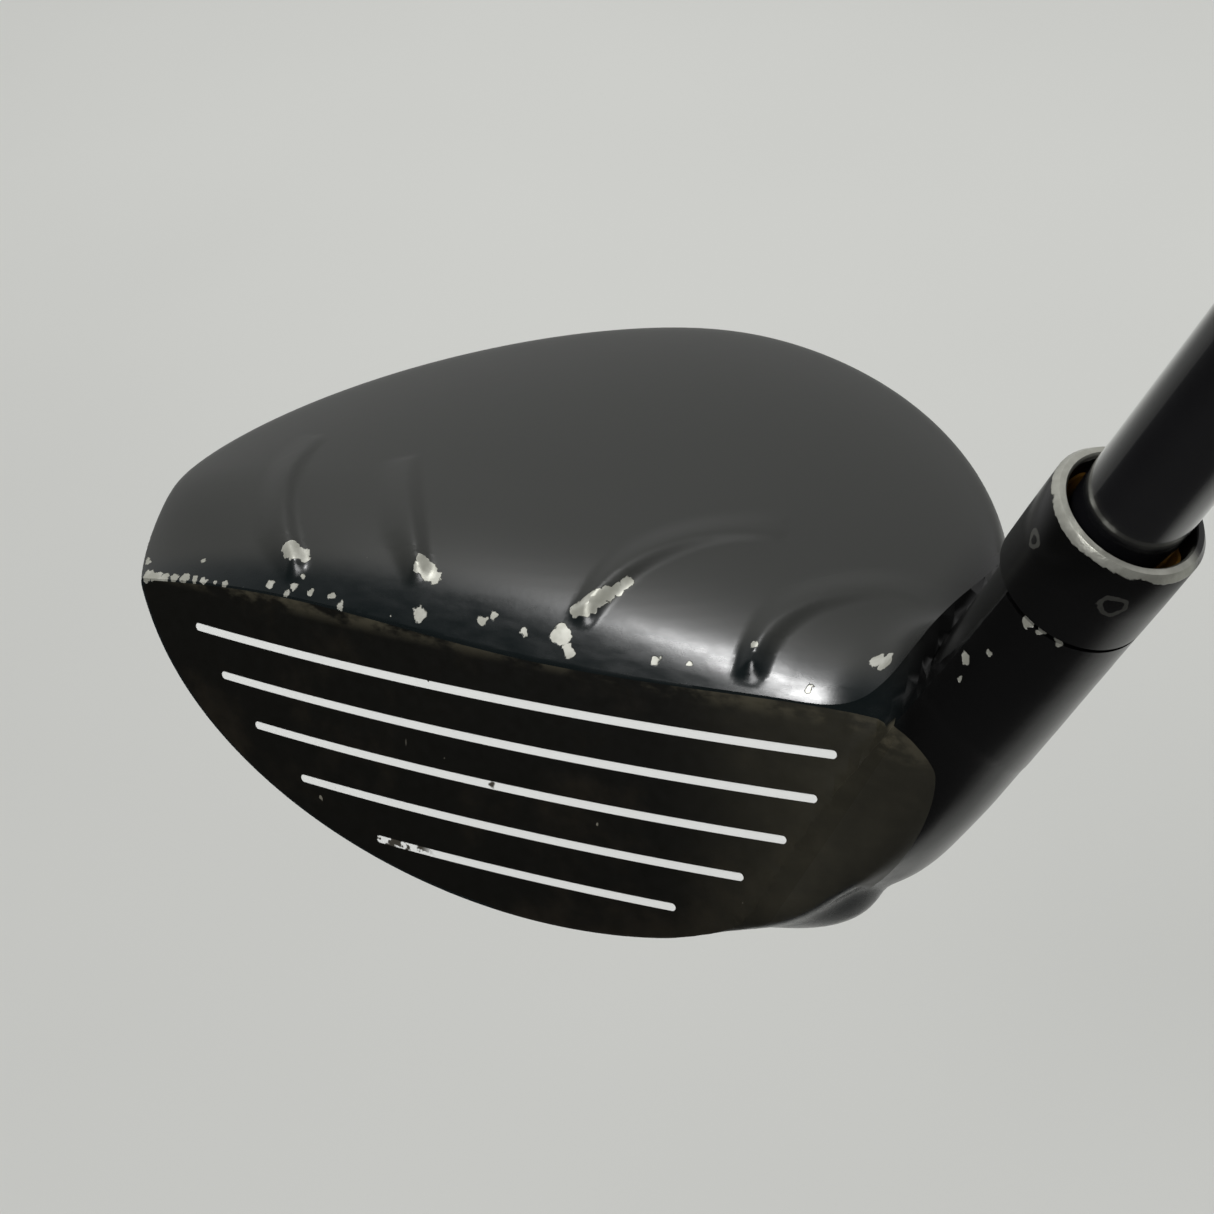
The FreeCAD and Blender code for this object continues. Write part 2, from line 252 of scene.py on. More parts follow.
@dataclass(frozen=True)
class Tap:
    """A shader socket that takes part in sums."""

    graph: "Graph"
    socket: Any

    def _sum(self, operation: str, other: Any, swap: bool = False) -> "Tap":
        """Math node of this socket and another value."""
        pair = (other, self) if swap else (self, other)
        return self.graph.add("ShaderNodeMath", {"operation": operation}, pair)

    def __add__(self, other: Any) -> "Tap":
        """Sum."""
        return self._sum("ADD", other)

    __radd__ = __add__

    def __sub__(self, other: Any) -> "Tap":
        """Difference."""
        return self._sum("SUBTRACT", other)

    def __rsub__(self, other: Any) -> "Tap":
        """Difference the other way round."""
        return self._sum("SUBTRACT", other, True)

    def __mul__(self, other: Any) -> "Tap":
        """Product."""
        return self._sum("MULTIPLY", other)

    __rmul__ = __mul__

    def __truediv__(self, other: Any) -> "Tap":
        """Quotient."""
        return self._sum("DIVIDE", other)

    def __pow__(self, other: Any) -> "Tap":
        """Power."""
        return self._sum("POWER", other)

    def clipped(self, low: float, high: float) -> "Tap":
        """Value held between two limits."""
        return self._sum("MAXIMUM", low)._sum("MINIMUM", high)

    def largest(self, other: Any) -> "Tap":
        """The larger of two values."""
        return self._sum("MAXIMUM", other)

    def band(self, low: float, high: float) -> "Tap":
        """Smooth step of this value; with low above high it falls instead.

        Args:
            low: Value at and below which the result is 0.
            high: Value at and above which the result is 1.

        Returns:
            The step.
        """
        settings = {"interpolation_type": "SMOOTHSTEP", "clamp": True}
        if low < high:
            return self.graph.add("ShaderNodeMapRange", settings, (self, low, high, 0.0, 1.0))
        return self.graph.add("ShaderNodeMapRange", settings, (self, high, low, 1.0, 0.0))


class Graph:
    """Node tree of one material with a Principled shader at its end."""

    def __init__(self, name: str) -> None:
        """Make an empty material called name."""
        self.material = bpy.data.materials.new(name)
        self.material.use_nodes = True
        self.tree = self.material.node_tree
        self.shader = self.tree.nodes["Principled BSDF"]

    def add(self, kind: str, settings: dict[str, Any] | None = None, sockets: Any = (), out: Any = 0) -> Tap:
        """Add one node.

        Args:
            kind: Type of the node.
            settings: Properties, set before the sockets.
            sockets: Input values or links, by order or by name.
            out: Output wanted, by number or name.

        Returns:
            The wanted output.
        """
        node = self.tree.nodes.new(kind)
        for key, value in (settings or {}).items():
            setattr(node, key, value)
        pairs = sockets.items() if isinstance(sockets, dict) else enumerate(sockets)
        for key, value in pairs:
            self._feed(node.inputs[key], value)
        return Tap(self, node.outputs[out])

    def _feed(self, socket: Any, value: Any) -> None:
        """Link or set one input.

        Args:
            socket: The input.
            value: Link, plain value, or None to leave it.
        """
        if isinstance(value, Tap):
            self.tree.links.new(value.socket, socket)
        elif value is not None:
            socket.default_value = value

    def set(self, **values: Any) -> None:
        """Feed the shader's own sockets.

        Args:
            values: Value or link of each socket, with underscores in its name for spaces.
        """
        for key, value in values.items():
            if isinstance(value, tuple) and len(value) == 3:
                value = (*value, 1.0)
            self._feed(self.shader.inputs[key.replace("_", " ")], value)

    def place(self, turn: float = 0.0, at: Sequence[float] = (0, 0, 0)) -> Tap:
        """Object coordinates of the piece.

        Args:
            turn: Turn of the coordinates about Y, in radians.
            at: Point they start from.

        Returns:
            The coordinates.
        """
        coords = self.add("ShaderNodeTexCoord", out="Object")
        mapping = {"vector_type": "TEXTURE"}
        return self.add("ShaderNodeMapping", mapping, (coords, tuple(at), (0.0, turn, 0.0)))

    def split(self, coords: Tap) -> tuple[Tap, Tap, Tap]:
        """The three parts of a vector."""
        x = self.add("ShaderNodeSeparateXYZ", {}, (coords,), 0)
        outputs = x.socket.node.outputs
        return x, Tap(self, outputs[1]), Tap(self, outputs[2])

    def noise(self, coords: Tap, scale: float, detail: float = 4.0, rough: float = 0.5) -> Tap:
        """Fractal noise from 0 to 1.

        Args:
            coords: Where it is read.
            scale: Features in a metre.
            detail: Number of finer layers.
            rough: Strength of the finer layers.

        Returns:
            The noise.
        """
        return self.add("ShaderNodeTexNoise", {}, {"Vector": coords, "Scale": scale, "Detail": detail,
                                                   "Roughness": rough}, "Fac")

    def stretched(self, coords: Tap, scale: Sequence[float]) -> Tap:
        """Coordinates multiplied along each axis."""
        return self.add("ShaderNodeVectorMath", {"operation": "MULTIPLY"}, (coords, tuple(scale)))

    def blend(self, share: Any, first: Any, second: Any) -> Tap:
        """Mix two colours.

        Args:
            share: Share of the second colour.
            first: First colour.
            second: Second colour.

        Returns:
            The mixed colour.
        """
        settings = {"data_type": "RGBA", "clamp_factor": True}
        colours = [(*c, 1.0) if isinstance(c, tuple) else c for c in (first, second)]
        return self.add("ShaderNodeMix", settings, {0: share, 6: colours[0], 7: colours[1]}, 2)

    def bump(self, height: Tap, distance: float, strength: float = 1.0, normal: Tap | None = None) -> Tap:
        """Bump from a height value.

        Args:
            height: Height from 0 to 1.
            distance: What a height of 1 stands for.
            strength: Share of the bump that shows.
            normal: Bump that it adds to.

        Returns:
            The bumped normal.
        """
        return self.add("ShaderNodeBump", {}, {"Height": height, "Distance": distance,
                                               "Strength": strength, "Normal": normal})

    def spots(self, coords: Tap, spots: Sequence[tuple[float, ...]], edge: float = 0.25 * MM) -> Tap:
        """Mask of small patches, each given by its centre and its radius.

        Args:
            coords: Coordinates, already roughened so that the patches are uneven.
            spots: Centre x, y, z and radius of each patch.
            edge: Width of a patch's soft edge.

        Returns:
            1 inside a patch and 0 outside.
        """
        total = None
        for x, y, z, radius in spots:
            away = self.add("ShaderNodeVectorMath", {"operation": "DISTANCE"}, (coords, (x, y, z)), "Value")
            mask = away.band(radius + edge / 2, radius - edge / 2)
            total = mask if total is None else total.largest(mask)
        return total

    def roughened(self, coords: Tap, scale: float, amount: float) -> Tap:
        """Coordinates pushed about by coloured noise.

        Args:
            coords: Coordinates to push.
            scale: Features of the noise in a metre.
            amount: Width of the push.

        Returns:
            The uneven coordinates.
        """
        push = self.add("ShaderNodeTexNoise", {}, {"Vector": coords, "Scale": scale, "Detail": 3.0}, "Color")
        centred = self.add("ShaderNodeVectorMath", {"operation": "SUBTRACT"}, (push, (0.5, 0.5, 0.5)))
        scaled = self.add("ShaderNodeVectorMath", {"operation": "SCALE"}, {0: centred, "Scale": amount})
        return self.add("ShaderNodeVectorMath", {"operation": "ADD"}, (coords, scaled))


# ---------------------------------------------------------------- head forms


@dataclass(frozen=True)
class Hosel:
    """Axis and sizes of the hosel, shared by everything on the shaft's axis."""

    base: Vector = Vector((40.4 * MM, 11.8 * MM, 17.0 * MM))
    lean: float = math.radians(31.0)
    radius: float = 7.1 * MM
    bore: float = 6.10 * MM
    top: float = 34.1 * MM
    key_top: float = 11.0 * MM
    web_bottom: float = -2.0 * MM
    screw_clear: float = 2.8 * MM
    access: float = 4.3 * MM

    def matrix(self) -> Matrix:
        """Turns upright shapes onto the hosel's axis."""
        return Matrix.Translation(self.base) @ Matrix.Rotation(self.lean, 4, "Y")

    def axis(self) -> Vector:
        """Direction from the head up the shaft."""
        return Vector((math.sin(self.lean), 0.0, math.cos(self.lean)))

    def stand(self, piece: bpy.types.Object) -> None:
        """Lean an upright piece's mesh onto the axis."""
        piece.data.transform(self.matrix())


@dataclass(frozen=True)
class HeadForm:
    """The head's outer surface as sections along its depth."""

    toe_x: float = -54.2 * MM
    toe_y: float = 24.8 * MM
    toe_curve: float = 0.0202 / MM
    toe_power: float = 1.55
    heel_x: float = 45.8 * MM
    heel_y: float = 21.7 * MM
    heel_curve: float = 0.007 / MM
    heel_power: float = 1.85
    rear_x: float = -2.4 * MM
    rear_y: float = 68.6 * MM
    edge_z: float = 27.15 * MM
    edge_fall_x: float = 0.022
    edge_fall_y: float = 0.030
    rise: float = 9.7 * MM
    lip: float = 3.75 * MM
    peak_y: float = 26.7 * MM
    crown_power: float = 2.03
    front_y: float = 5.5 * MM
    toe_shape: float = 2.2
    heel_shape: float = 0.7
    drop: float = 26.76 * MM
    low_y: float = 10.4 * MM
    sole_curve: float = 0.0097 / MM
    sole_power: float = 1.54
    sole_shape: float = 0.82

    def limits(self, y: float) -> Pair:
        """Toe and heel x of the belt edge.

        Args:
            y: Depth of the section.

        Returns:
            Both ends, toe first.
        """
        found = []
        sides = ((self.toe_x, self.toe_y, self.toe_curve, self.toe_power, -1.0),
                 (self.heel_x, self.heel_y, self.heel_curve, self.heel_power, 1.0))
        for edge, from_y, curve, power, side in sides:
            if y <= from_y:
                found.append(edge - side * curve * (from_y - y) ** 2)
            else:
                share = min(1.0, (y - from_y) / (self.rear_y - from_y))
                reach = (1.0 - share ** power) ** (1.0 / power)
                found.append(self.rear_x + (edge - self.rear_x) * reach)
        return found[0], found[1]

    def edge(self, x: float, y: float) -> float:
        """Height of the belt edge."""
        return self.edge_z - self.edge_fall_x * x - self.edge_fall_y * y

    def crown_rise(self, y: float) -> float:
        """Crown height over the belt edge at mid width.

        Args:
            y: Depth of the section.

        Returns:
            The height.
        """
        if y <= self.peak_y:
            share = (y - self.front_y) / (self.peak_y - self.front_y)
            height = self.rise - (self.rise - self.lip) * max(0.0, 1.0 - share) ** 3.2
        else:
            share = min(1.0, (y - self.peak_y) / (self.rear_y - self.peak_y))
            height = self.rise * (1.0 - share ** self.crown_power) ** (1.0 / self.crown_power)
        return max(height, 0.3 * MM)

    def sole_drop(self, y: float) -> float:
        """Sole depth under the belt edge at mid width.

        Args:
            y: Depth of the section.

        Returns:
            The depth.
        """
        if y <= self.low_y:
            depth = self.drop - self.sole_curve * (self.low_y - y) ** 2
        else:
            share = min(1.0, (y - self.low_y) / (self.rear_y - self.low_y))
            depth = self.drop * (1.0 - share ** self.sole_power) ** (1.0 / self.sole_power)
        return max(depth, 0.3 * MM)

    def shape(self, y: float, across: float) -> float:
        """Fullness of the crown section, which differs between toe and heel in front.

        Args:
            y: Depth of the section.
            across: Place across it, from -1 at the toe to 1 at the heel.

        Returns:
            The power that shapes the section.
        """
        share = min(1.0, max(0.0, (y - 6.0 * MM) / (18.0 * MM)))
        blend = share * share * (3.0 - 2.0 * share)
        middle = (self.toe_shape + self.heel_shape) / 2.0
        half = (self.toe_shape - self.heel_shape) / 2.0
        return (middle - half * across) * (1.0 - blend) + 0.9 * blend

    def point(self, turn: float, y: float, scale: float = 1.0) -> Vector:
        """Point of the surface.

        Args:
            turn: Angle round the section, from the heel edge over the crown.
            y: Depth of the section.
            scale: Shrinks the section towards its middle.

        Returns:
            The point.
        """
        toe, heel = self.limits(y)
        across = math.cos(turn)
        up = math.sin(turn)
        x = (toe + heel) / 2.0 + (heel - toe) / 2.0 * across
        if up >= 0.0:
            rise = self.crown_rise(y) * up ** self.shape(y, across)
        else:
            rise = -self.sole_drop(y) * (-up) ** self.sole_shape
        middle = Vector(((toe + heel) / 2.0, y, self.edge((toe + heel) / 2.0, y)))
        return middle.lerp(Vector((x, y, self.edge(x, y) + rise)), scale)

    def crown_z(self, x: float, y: float) -> float:
        """Height of the crown over a plan point.

        Args:
            x: Place across the head.
            y: Depth.

        Returns:
            The height.
        """
        toe, heel = self.limits(y)
        across = min(0.999, max(-0.999, (x - (toe + heel) / 2.0) / ((heel - toe) / 2.0)))
        up = math.sqrt(1.0 - across ** 2) ** self.shape(y, across)
        return self.edge(x, y) + self.crown_rise(y) * up

    def holds(self, spot: Vector) -> bool:
        """Tell whether a point is inside the head's outer surface.

        Args:
            spot: The point.

        Returns:
            True inside.
        """
        toe, heel = self.limits(spot.y)
        across = (spot.x - (toe + heel) / 2.0) / ((heel - toe) / 2.0)
        if abs(across) >= 1.0:
            return False
        fall = math.sqrt(1 - across ** 2) ** self.sole_shape
        low = self.edge(spot.x, spot.y) - self.sole_drop(spot.y) * fall
        return low < spot.z < self.crown_z(spot.x, spot.y)

    def blank(self) -> bmesh.types.BMesh:
        """Closed head with no face cut, from a ball of rings.

        Returns:
            Its mesh.
        """
        bm = bmesh.new()
        bmesh.ops.create_uvsphere(bm, u_segments=176, v_segments=150, radius=1.0)
        for vert in bm.verts:
            share = math.acos(max(-1.0, min(1.0, vert.co.z))) / math.pi
            turn = math.atan2(vert.co.y, vert.co.x)
            nose = min(1.0, share / 0.06)
            scale = math.sqrt(1.0 - (1.0 - nose) ** 2)
            if share < 0.42:
                y = (-13.0 + 32.0 * share / 0.42) * MM
            else:
                y = 19.0 * MM + (self.rear_y - 19.0 * MM) * math.sin((share - 0.42) / 0.58 * math.pi / 2)
            vert.co = self.point(turn, y, scale)
        bmesh.ops.remove_doubles(bm, verts=bm.verts, dist=1e-6)
        bmesh.ops.recalc_face_normals(bm, faces=bm.faces)
        return bm


@dataclass(frozen=True)
class FaceForm:
    """The bulged face, as a frame whose flat plane becomes the face surface."""

    height: float = 17.0 * MM
    loft: float = math.radians(20.7)
    radius: float = 270.0 * MM
    thick: float = 2.4 * MM
    rim: float = 0.30 * MM
    heel_gap: float = 6.0 * MM

    def vectors(self) -> tuple[np.ndarray, np.ndarray, np.ndarray, np.ndarray]:
        """Centre, across, up and outward directions."""
        sine, cosine = math.sin(self.loft), math.cos(self.loft)
        centre = np.array((0.0, 0.0, self.height))
        return centre, np.array((1.0, 0, 0)), np.array((0, sine, cosine)), np.array((0, -cosine, sine))

    def flatten(self, points: np.ndarray) -> np.ndarray:
        """Model points to (across, up, out) with the bulge taken away.

        Args:
            points: Points of the model, one row each.

        Returns:
            The flattened points.
        """
        centre, across, up, out = self.vectors()
        away = points - centre
        x, v, w = away @ across, away @ up, away @ out
        return np.stack([x, v, w + (x * x + v * v) / (2 * self.radius)], 1)

    def restore(self, flat: np.ndarray) -> np.ndarray:
        """The way back from flatten.

        Args:
            flat: Flattened points, one row each.

        Returns:
            Points of the model.
        """
        centre, across, up, out = self.vectors()
        x, v = flat[:, 0], flat[:, 1]
        w = flat[:, 2] - (x * x + v * v) / (2 * self.radius)
        return centre + x[:, None] * across + v[:, None] * up + w[:, None] * out

    def heel_end(self, hosel: Hosel, v: float) -> float:
        """Heel end of the plate at a height on the face."""
        return hosel.base.x - self.heel_gap + math.cos(self.loft) * math.tan(hosel.lean) * v

    def reach(self, head: HeadForm, hosel: Hosel, angle: float) -> float:
        """Distance from the face's centre to the plate's edge in one direction.

        Args:
            head: Outer form of the head.
            hosel: The hosel, which ends the plate at the heel.
            angle: Direction on the face.

        Returns:
            The distance.
        """
        low, high = 0.0, 80.0 * MM
        for _ in range(26):
            middle = (low + high) / 2.0
            x, v = middle * math.cos(angle), middle * math.sin(angle)
            spot = Vector(self.restore(np.array([[x, v, 0.0]]))[0])
            if x < self.heel_end(hosel, v) and head.holds(spot):
                low = middle
            else:
                high = middle
        return low


@dataclass
class ClubHead:
    """Hollow head: body with hosel, crown with ridges, face plate, line paint and weight."""

    form: HeadForm = field(default_factory=HeadForm)
    face: FaceForm = field(default_factory=FaceForm)
    hosel: Hosel = field(default_factory=Hosel)
    voxel: float = 0.5 * MM
    fillet: float = 5.0 * MM
    rim_trim: float = 0.12 * MM
    neck: tuple[tuple[float, float, float, float], ...] = (
        (-16.5, -3.4, -2.0, 0.6), (-15.4, -2.9, -2.0, 3.2), (-13.6, -2.0, -1.8, 4.4),
        (-11.0, -1.0, -1.3, 5.4), (-8.0, -0.5, -0.4, 6.5), (-5.0, -0.6, 0.4, 7.3),
        (4.0, -0.9, 1.1, 8.2), (12.0, -0.8, 1.0, 8.1), (19.0, -0.3, 0.4, 7.5),
        (26.0, 0.0, 0.0, 7.1), (36.0, 0.0, 0.0, 7.1))
    heel_centre: tuple[float, float, float] = (27.5 * MM, 7.5 * MM, 5.65 * MM)
    heel_size: tuple[float, float, float] = (10.0 * MM, 6.5 * MM, 5.55 * MM)
    ridges: tuple[tuple[Pair, ...], ...] = (
        ((-27.4, 10.6), (-31.4, 15.6), (-34.6, 22.0), (-35.4, 30.0)),
        ((-12.0, 11.6), (-15.4, 17.0), (-19.0, 22.5), (-21.8, 27.2)),
        ((8.0, 10.8), (11.2, 17.4), (16.2, 22.8), (23.2, 26.0)),
        ((26.3, 9.4), (28.2, 15.8), (33.0, 20.8), (39.2, 23.2)))
    ridge_soft: float = 5.0 * MM
    ridge_steep: float = 1.5 * MM
    ridge_rise: float = 1.05 * MM
    joint_front: float = 13.5 * MM
    joint_lift: float = 1.6 * MM
    lines: tuple[tuple[float, float, float], ...] = (
        (9.82, -40.8, 35.5), (4.91, -37.3, 33.7), (0.0, -32.8, 30.7), (-4.91, -26.7, 26.3),
        (-9.82, -16.8, 19.0))
    line_half: float = 0.47 * MM
    line_deep: float = 0.45 * MM
    paint_low: float = 0.03 * MM
    weight_at: Pair = (4.0 * MM, 44.0 * MM)
    weight_tilt: float = math.radians(24.0)

    def flat_block(self, name: str, low: float, high: float, ramp: bool = False,
                   proud: float = 0.0) -> bpy.types.Object:
        """Box over the flattened face whose underside is a fine grid.

        Args:
            name: Name of the helper.
            low: Height of the underside over the face.
            high: Height of the top.
            ramp: True to lift the underside clear of the hosel.
            proud: Extra height of the underside away from the hosel.

        Returns:
            The box, still in flattened space.
        """
        bm = bmesh.new()
        bmesh.ops.create_grid(bm, x_segments=110, y_segments=64, size=1.0)
        bmesh.ops.scale(bm, vec=(72 * MM, 42 * MM, 1.0), verts=bm.verts)
        bmesh.ops.translate(bm, vec=(0, 0, low), verts=bm.verts)
        grid = list(bm.faces)
        side = bmesh.ops.extrude_face_region(bm, geom=grid, use_keep_orig=True)
        tops = [item for item in side["geom"] if isinstance(item, bmesh.types.BMVert)]
        for vert in tops:
            vert.co.z = high
        tall = set(tops)
        for vert in bm.verts:
            if vert in tall:
                continue
            past = vert.co.x - self.face.heel_end(self.hosel, vert.co.y) + 3.0 * MM
            vert.co.z += proud * min(1.0, max(0.0, -past / (4.0 * MM)))
            if ramp:
                vert.co.z += min(high / 2, max(0.0, past) ** 2 / (1.6 * MM))
        bmesh.ops.recalc_face_normals(bm, faces=bm.faces)
        return to_object(bm, name)

    def neck_mesh(self) -> bmesh.types.BMesh:
        """Hosel outside as stacked rings, leaned onto its axis.

        Returns:
            Its mesh.
        """
        heights = [row[0] * MM for row in self.neck]
        rows = np.array(self.neck) * MM
        steps = np.linspace(heights[0], heights[-1], 60)
        profile = [(0.0, steps[0])] + [(1.0, h) for h in steps] + [(0.0, steps[-1])]
        bm = spun(profile, 96)
        for vert in bm.verts:
            over, back, radius = (float(np.interp(vert.co.z, rows[:, 0], rows[:, k])) for k in (1, 2, 3))
            vert.co.x = vert.co.x * radius + over
            vert.co.y = vert.co.y * radius + back
        bmesh.ops.transform(bm, matrix=self.hosel.matrix(), verts=bm.verts)
        return bm

    def soften_union(self, shell: bpy.types.Object, head_tree: BVHTree, neck_tree: BVHTree) -> None:
        """Pull points near the joint of head and hosel onto one rounded surface.

        Args:
            shell: Joined mesh that changes.
            head_tree: Search tree of the head alone.
            neck_tree: Search tree of the hosel alone.
        """
        axis, base = self.hosel.axis(), self.hosel.base
        for vert in shell.data.vertices:
            along = (vert.co - base).dot(axis)
            across = (vert.co - base - axis * along).length
            if across > 24 * MM or along > 30 * MM:
                continue
            spot = vert.co.copy()
            for _ in range(4):
                signed = []
                for tree in (head_tree, neck_tree):
                    near, normal, _, away = tree.find_nearest(spot)
                    side = 1.0 if (spot - near).dot(normal) >= 0 else -1.0
                    slope = (spot - near) * side / away if away > 2e-5 else normal
                    signed.append((side * away, slope))
                (a, slope_a), (b, slope_b) = signed
                share = max(self.fillet - abs(a - b), 0.0) / self.fillet
                value = min(a, b) - share * share * self.fillet / 4.0
                mix = share / 2.0 if a > b else 1.0 - share / 2.0
                slope = slope_a * mix + slope_b * (1.0 - mix)
                if slope.length_squared < 0.05:
                    break
                spot -= slope * (value / slope.length_squared) * 0.8
            vert.co = spot
        bm = bmesh.new()
        bm.from_mesh(shell.data)
        bm.verts.ensure_lookup_table()
        zone = []
        for vert in bm.verts:
            along = (vert.co - base).dot(axis)
            across = (vert.co - base - axis * along).length
            gap = abs(head_tree.find_nearest(vert.co)[3] - neck_tree.find_nearest(vert.co)[3])
            if across < 24 * MM and along < 29 * MM and gap < self.fillet * 1.5:
                zone.append(vert)
        for _ in range(26):
            bmesh.ops.smooth_vert(bm, verts=zone, factor=0.5, use_axis_x=True, use_axis_y=True,
                                  use_axis_z=True)
        bm.to_mesh(shell.data)
        bm.free()
        shell.data.update()

    def ridge_height(self, points: np.ndarray) -> np.ndarray:
        """Rise of the crown ridges, soft on the toe side and steep on the heel side.

        Args:
            points: Points of the crown, one row each.

        Returns:
            Rise of each point.
        """
        rise = np.zeros(len(points))
        share = np.linspace(0.0, 1.0, 60)
        for path in self.ridges:
            line = np.stack([np.polyval(np.polyfit((0, 1 / 3, 2 / 3, 1), [p[k] * MM for p in path], 3), share)
                             for k in (0, 1)], 1)
            run = np.gradient(line, axis=0)
            run /= np.linalg.norm(run, axis=1)[:, None]
            away = points[:, None, :2] - line[None, :, :]
            nearest = np.hypot(away[..., 0], away[..., 1]).argmin(1)
            offset = away[np.arange(len(points)), nearest]
            along = (offset * run[nearest]).sum(1)
            side = offset[:, 0] * run[nearest, 1] - offset[:, 1] * run[nearest, 0]
            t = share[nearest]
            width = np.where(side > 0, self.ridge_steep, self.ridge_soft * np.clip(0.36 + 1.4 * t, 0.0, 0.8))
            ahead = share_smooth(1.0 + np.minimum(along, 0.0) / (1.8 * MM))
            here = self.ridge_rise * (1.0 - t) ** 0.6 * share_smooth(1.0 - np.abs(side) / width)
            rise = np.maximum(rise, here * np.where(nearest == 0, ahead, 1.0) * (nearest < 59))
        return rise

    def raise_ridges(self, shell: bpy.types.Object) -> None:
        """Lift the crown's points over the ridges.

        Args:
            shell: Mesh that changes.
        """
        def lift(points: np.ndarray) -> np.ndarray:
            """Raised points."""
            crown = points[:, 2] > self.form.edge_z - 1.5 * MM
            zone = crown & (points[:, 1] > 6.0 * MM) & (points[:, 1] < 34.0 * MM)
            raised = points.copy()
            raised[zone, 2] += self.ridge_height(points[zone])
            return raised
        move_points(shell, lift)

    def solid(self) -> bpy.types.Object:
        """Whole outside of the head: blank, face cut, hosel, fillet and ridges.

        Returns:
            The solid, still in flattened space.
        """
        blank = to_object(self.form.blank(), "blank")
        move_points(blank, self.face.flatten)
        carve(blank, self.flat_block("front", 0.0, 60 * MM, proud=1.2 * MM), Cut.REMOVE)
        move_points(blank, self.face.restore)
        neck = to_object(self.neck_mesh(), "neck")
        bm = bmesh.new()
        bmesh.ops.create_uvsphere(bm, u_segments=48, v_segments=32, radius=1.0)
        bmesh.ops.scale(bm, vec=self.heel_size, verts=bm.verts)
        bmesh.ops.translate(bm, vec=self.heel_centre, verts=bm.verts)
        carve(neck, to_object(bm, "heel"), Cut.JOIN)
        trees = []
        for part in (blank, neck):
            bm = bmesh.new()
            bm.from_mesh(part.data)
            bmesh.ops.triangulate(bm, faces=bm.faces)
            trees.append(BVHTree.FromBMesh(bm))
            bm.free()
        carve(blank, neck, Cut.JOIN)
        grid = blank.modifiers.new("even", "REMESH")
        grid.mode = "VOXEL"
        grid.voxel_size = self.voxel
        bake_modifiers(blank)
        bm = bmesh.new()
        bm.from_mesh(blank.data)
        for _ in range(3):
            bmesh.ops.smooth_vert(bm, verts=bm.verts, factor=0.5, use_axis_x=True, use_axis_y=True,
                                  use_axis_z=True)
        bm.to_mesh(blank.data)
        bm.free()
        self.soften_union(blank, *trees)
        self.raise_ridges(blank)
        move_points(blank, self.face.flatten)
        carve(blank, self.flat_block("trim", -self.rim_trim, 60 * MM, ramp=True), Cut.REMOVE)
        return blank

    def plate_tool(self) -> bpy.types.Object:
        """Prism of the face plate in flattened space, with a fine floor.

        Returns:
            The tool.
        """
        floor = -self.face.thick
        rings = [(share, floor) for share in np.linspace(0.0, 1.0, 26)]
        bm = spun(rings + [(1.0, 12 * MM), (0.0, 12 * MM)], 220)
        reach: dict[int, float] = {}
        for vert in bm.verts:
            radius = math.hypot(vert.co.x, vert.co.y)
            if radius < 1e-6:
                continue
            angle = math.atan2(vert.co.y, vert.co.x)
            key = round(angle * 1e4)
            if key not in reach:
                reach[key] = self.face.reach(self.form, self.hosel, angle)
                at_heel = reach[key] * math.cos(angle) > self.face.heel_end(
                    self.hosel, reach[key] * math.sin(angle)) - 0.1 * MM
                reach[key] -= 0.0 if at_heel else self.face.rim
            far = reach[key] * radius
            vert.co.x = math.cos(angle) * far
            vert.co.y = math.sin(angle) * far
        return to_object(bm, "plate_tool")

    def line_tool(self, line: tuple[float, float, float], top: float) -> bmesh.types.BMesh:
        """Round-ended bar of one score line in flattened space.

        Args:
            line: Height on the face, toe end and heel end, in millimetres.
            top: Height of its upper side.

        Returns:
            The bar, cut into short spans so that it can follow the bulge.
        """
        v, toe, heel = (value * MM for value in line)
        bm = spun([(0.0, -self.line_deep), (self.line_half, -self.line_deep), (self.line_half, top),
                   (0.0, top)], 24)
        half = (heel - toe) / 2.0 - self.line_half
        for vert in bm.verts:
            if abs(vert.co.x) > 1e-7:
                vert.co.x += math.copysign(half, vert.co.x)
            vert.co += Vector(((toe + heel) / 2.0, v, 0.0))
        spans = round((heel - toe) / (2.5 * MM))
        for step in range(1, spans):
            x = toe + (heel - toe) * step / spans
            bmesh.ops.bisect_plane(bm, geom=bm.verts[:] + bm.edges[:] + bm.faces[:], plane_co=(x, 0, 0),
                                   plane_no=(1, 0, 0), dist=1e-7)
        return bm

    def joint_tool(self) -> bpy.types.Object:
        """Block of the crown: above the joint, behind its front line, toe side of the hosel.

        Returns:
            The tool.
        """
        bm = bmesh.new()
        front = self.joint_front
        corners = [(-80 * MM, front), (20 * MM, front), (34 * MM, 26 * MM), (48 * MM, 52 * MM),
                   (48 * MM, 90 * MM), (-80 * MM, 90 * MM)]
        verts = [bm.verts.new((x, y, self.form.edge(x, y) + self.joint_lift)) for x, y in corners]
        face = bm.faces.new(verts)
        side = bmesh.ops.extrude_face_region(bm, geom=[face])
        tops = [item for item in side["geom"] if isinstance(item, bmesh.types.BMVert)]
        bmesh.ops.translate(bm, vec=(0, 0, 40 * MM), verts=tops)
        bmesh.ops.recalc_face_normals(bm, faces=bm.faces)
        return to_object(bm, "joint_tool")

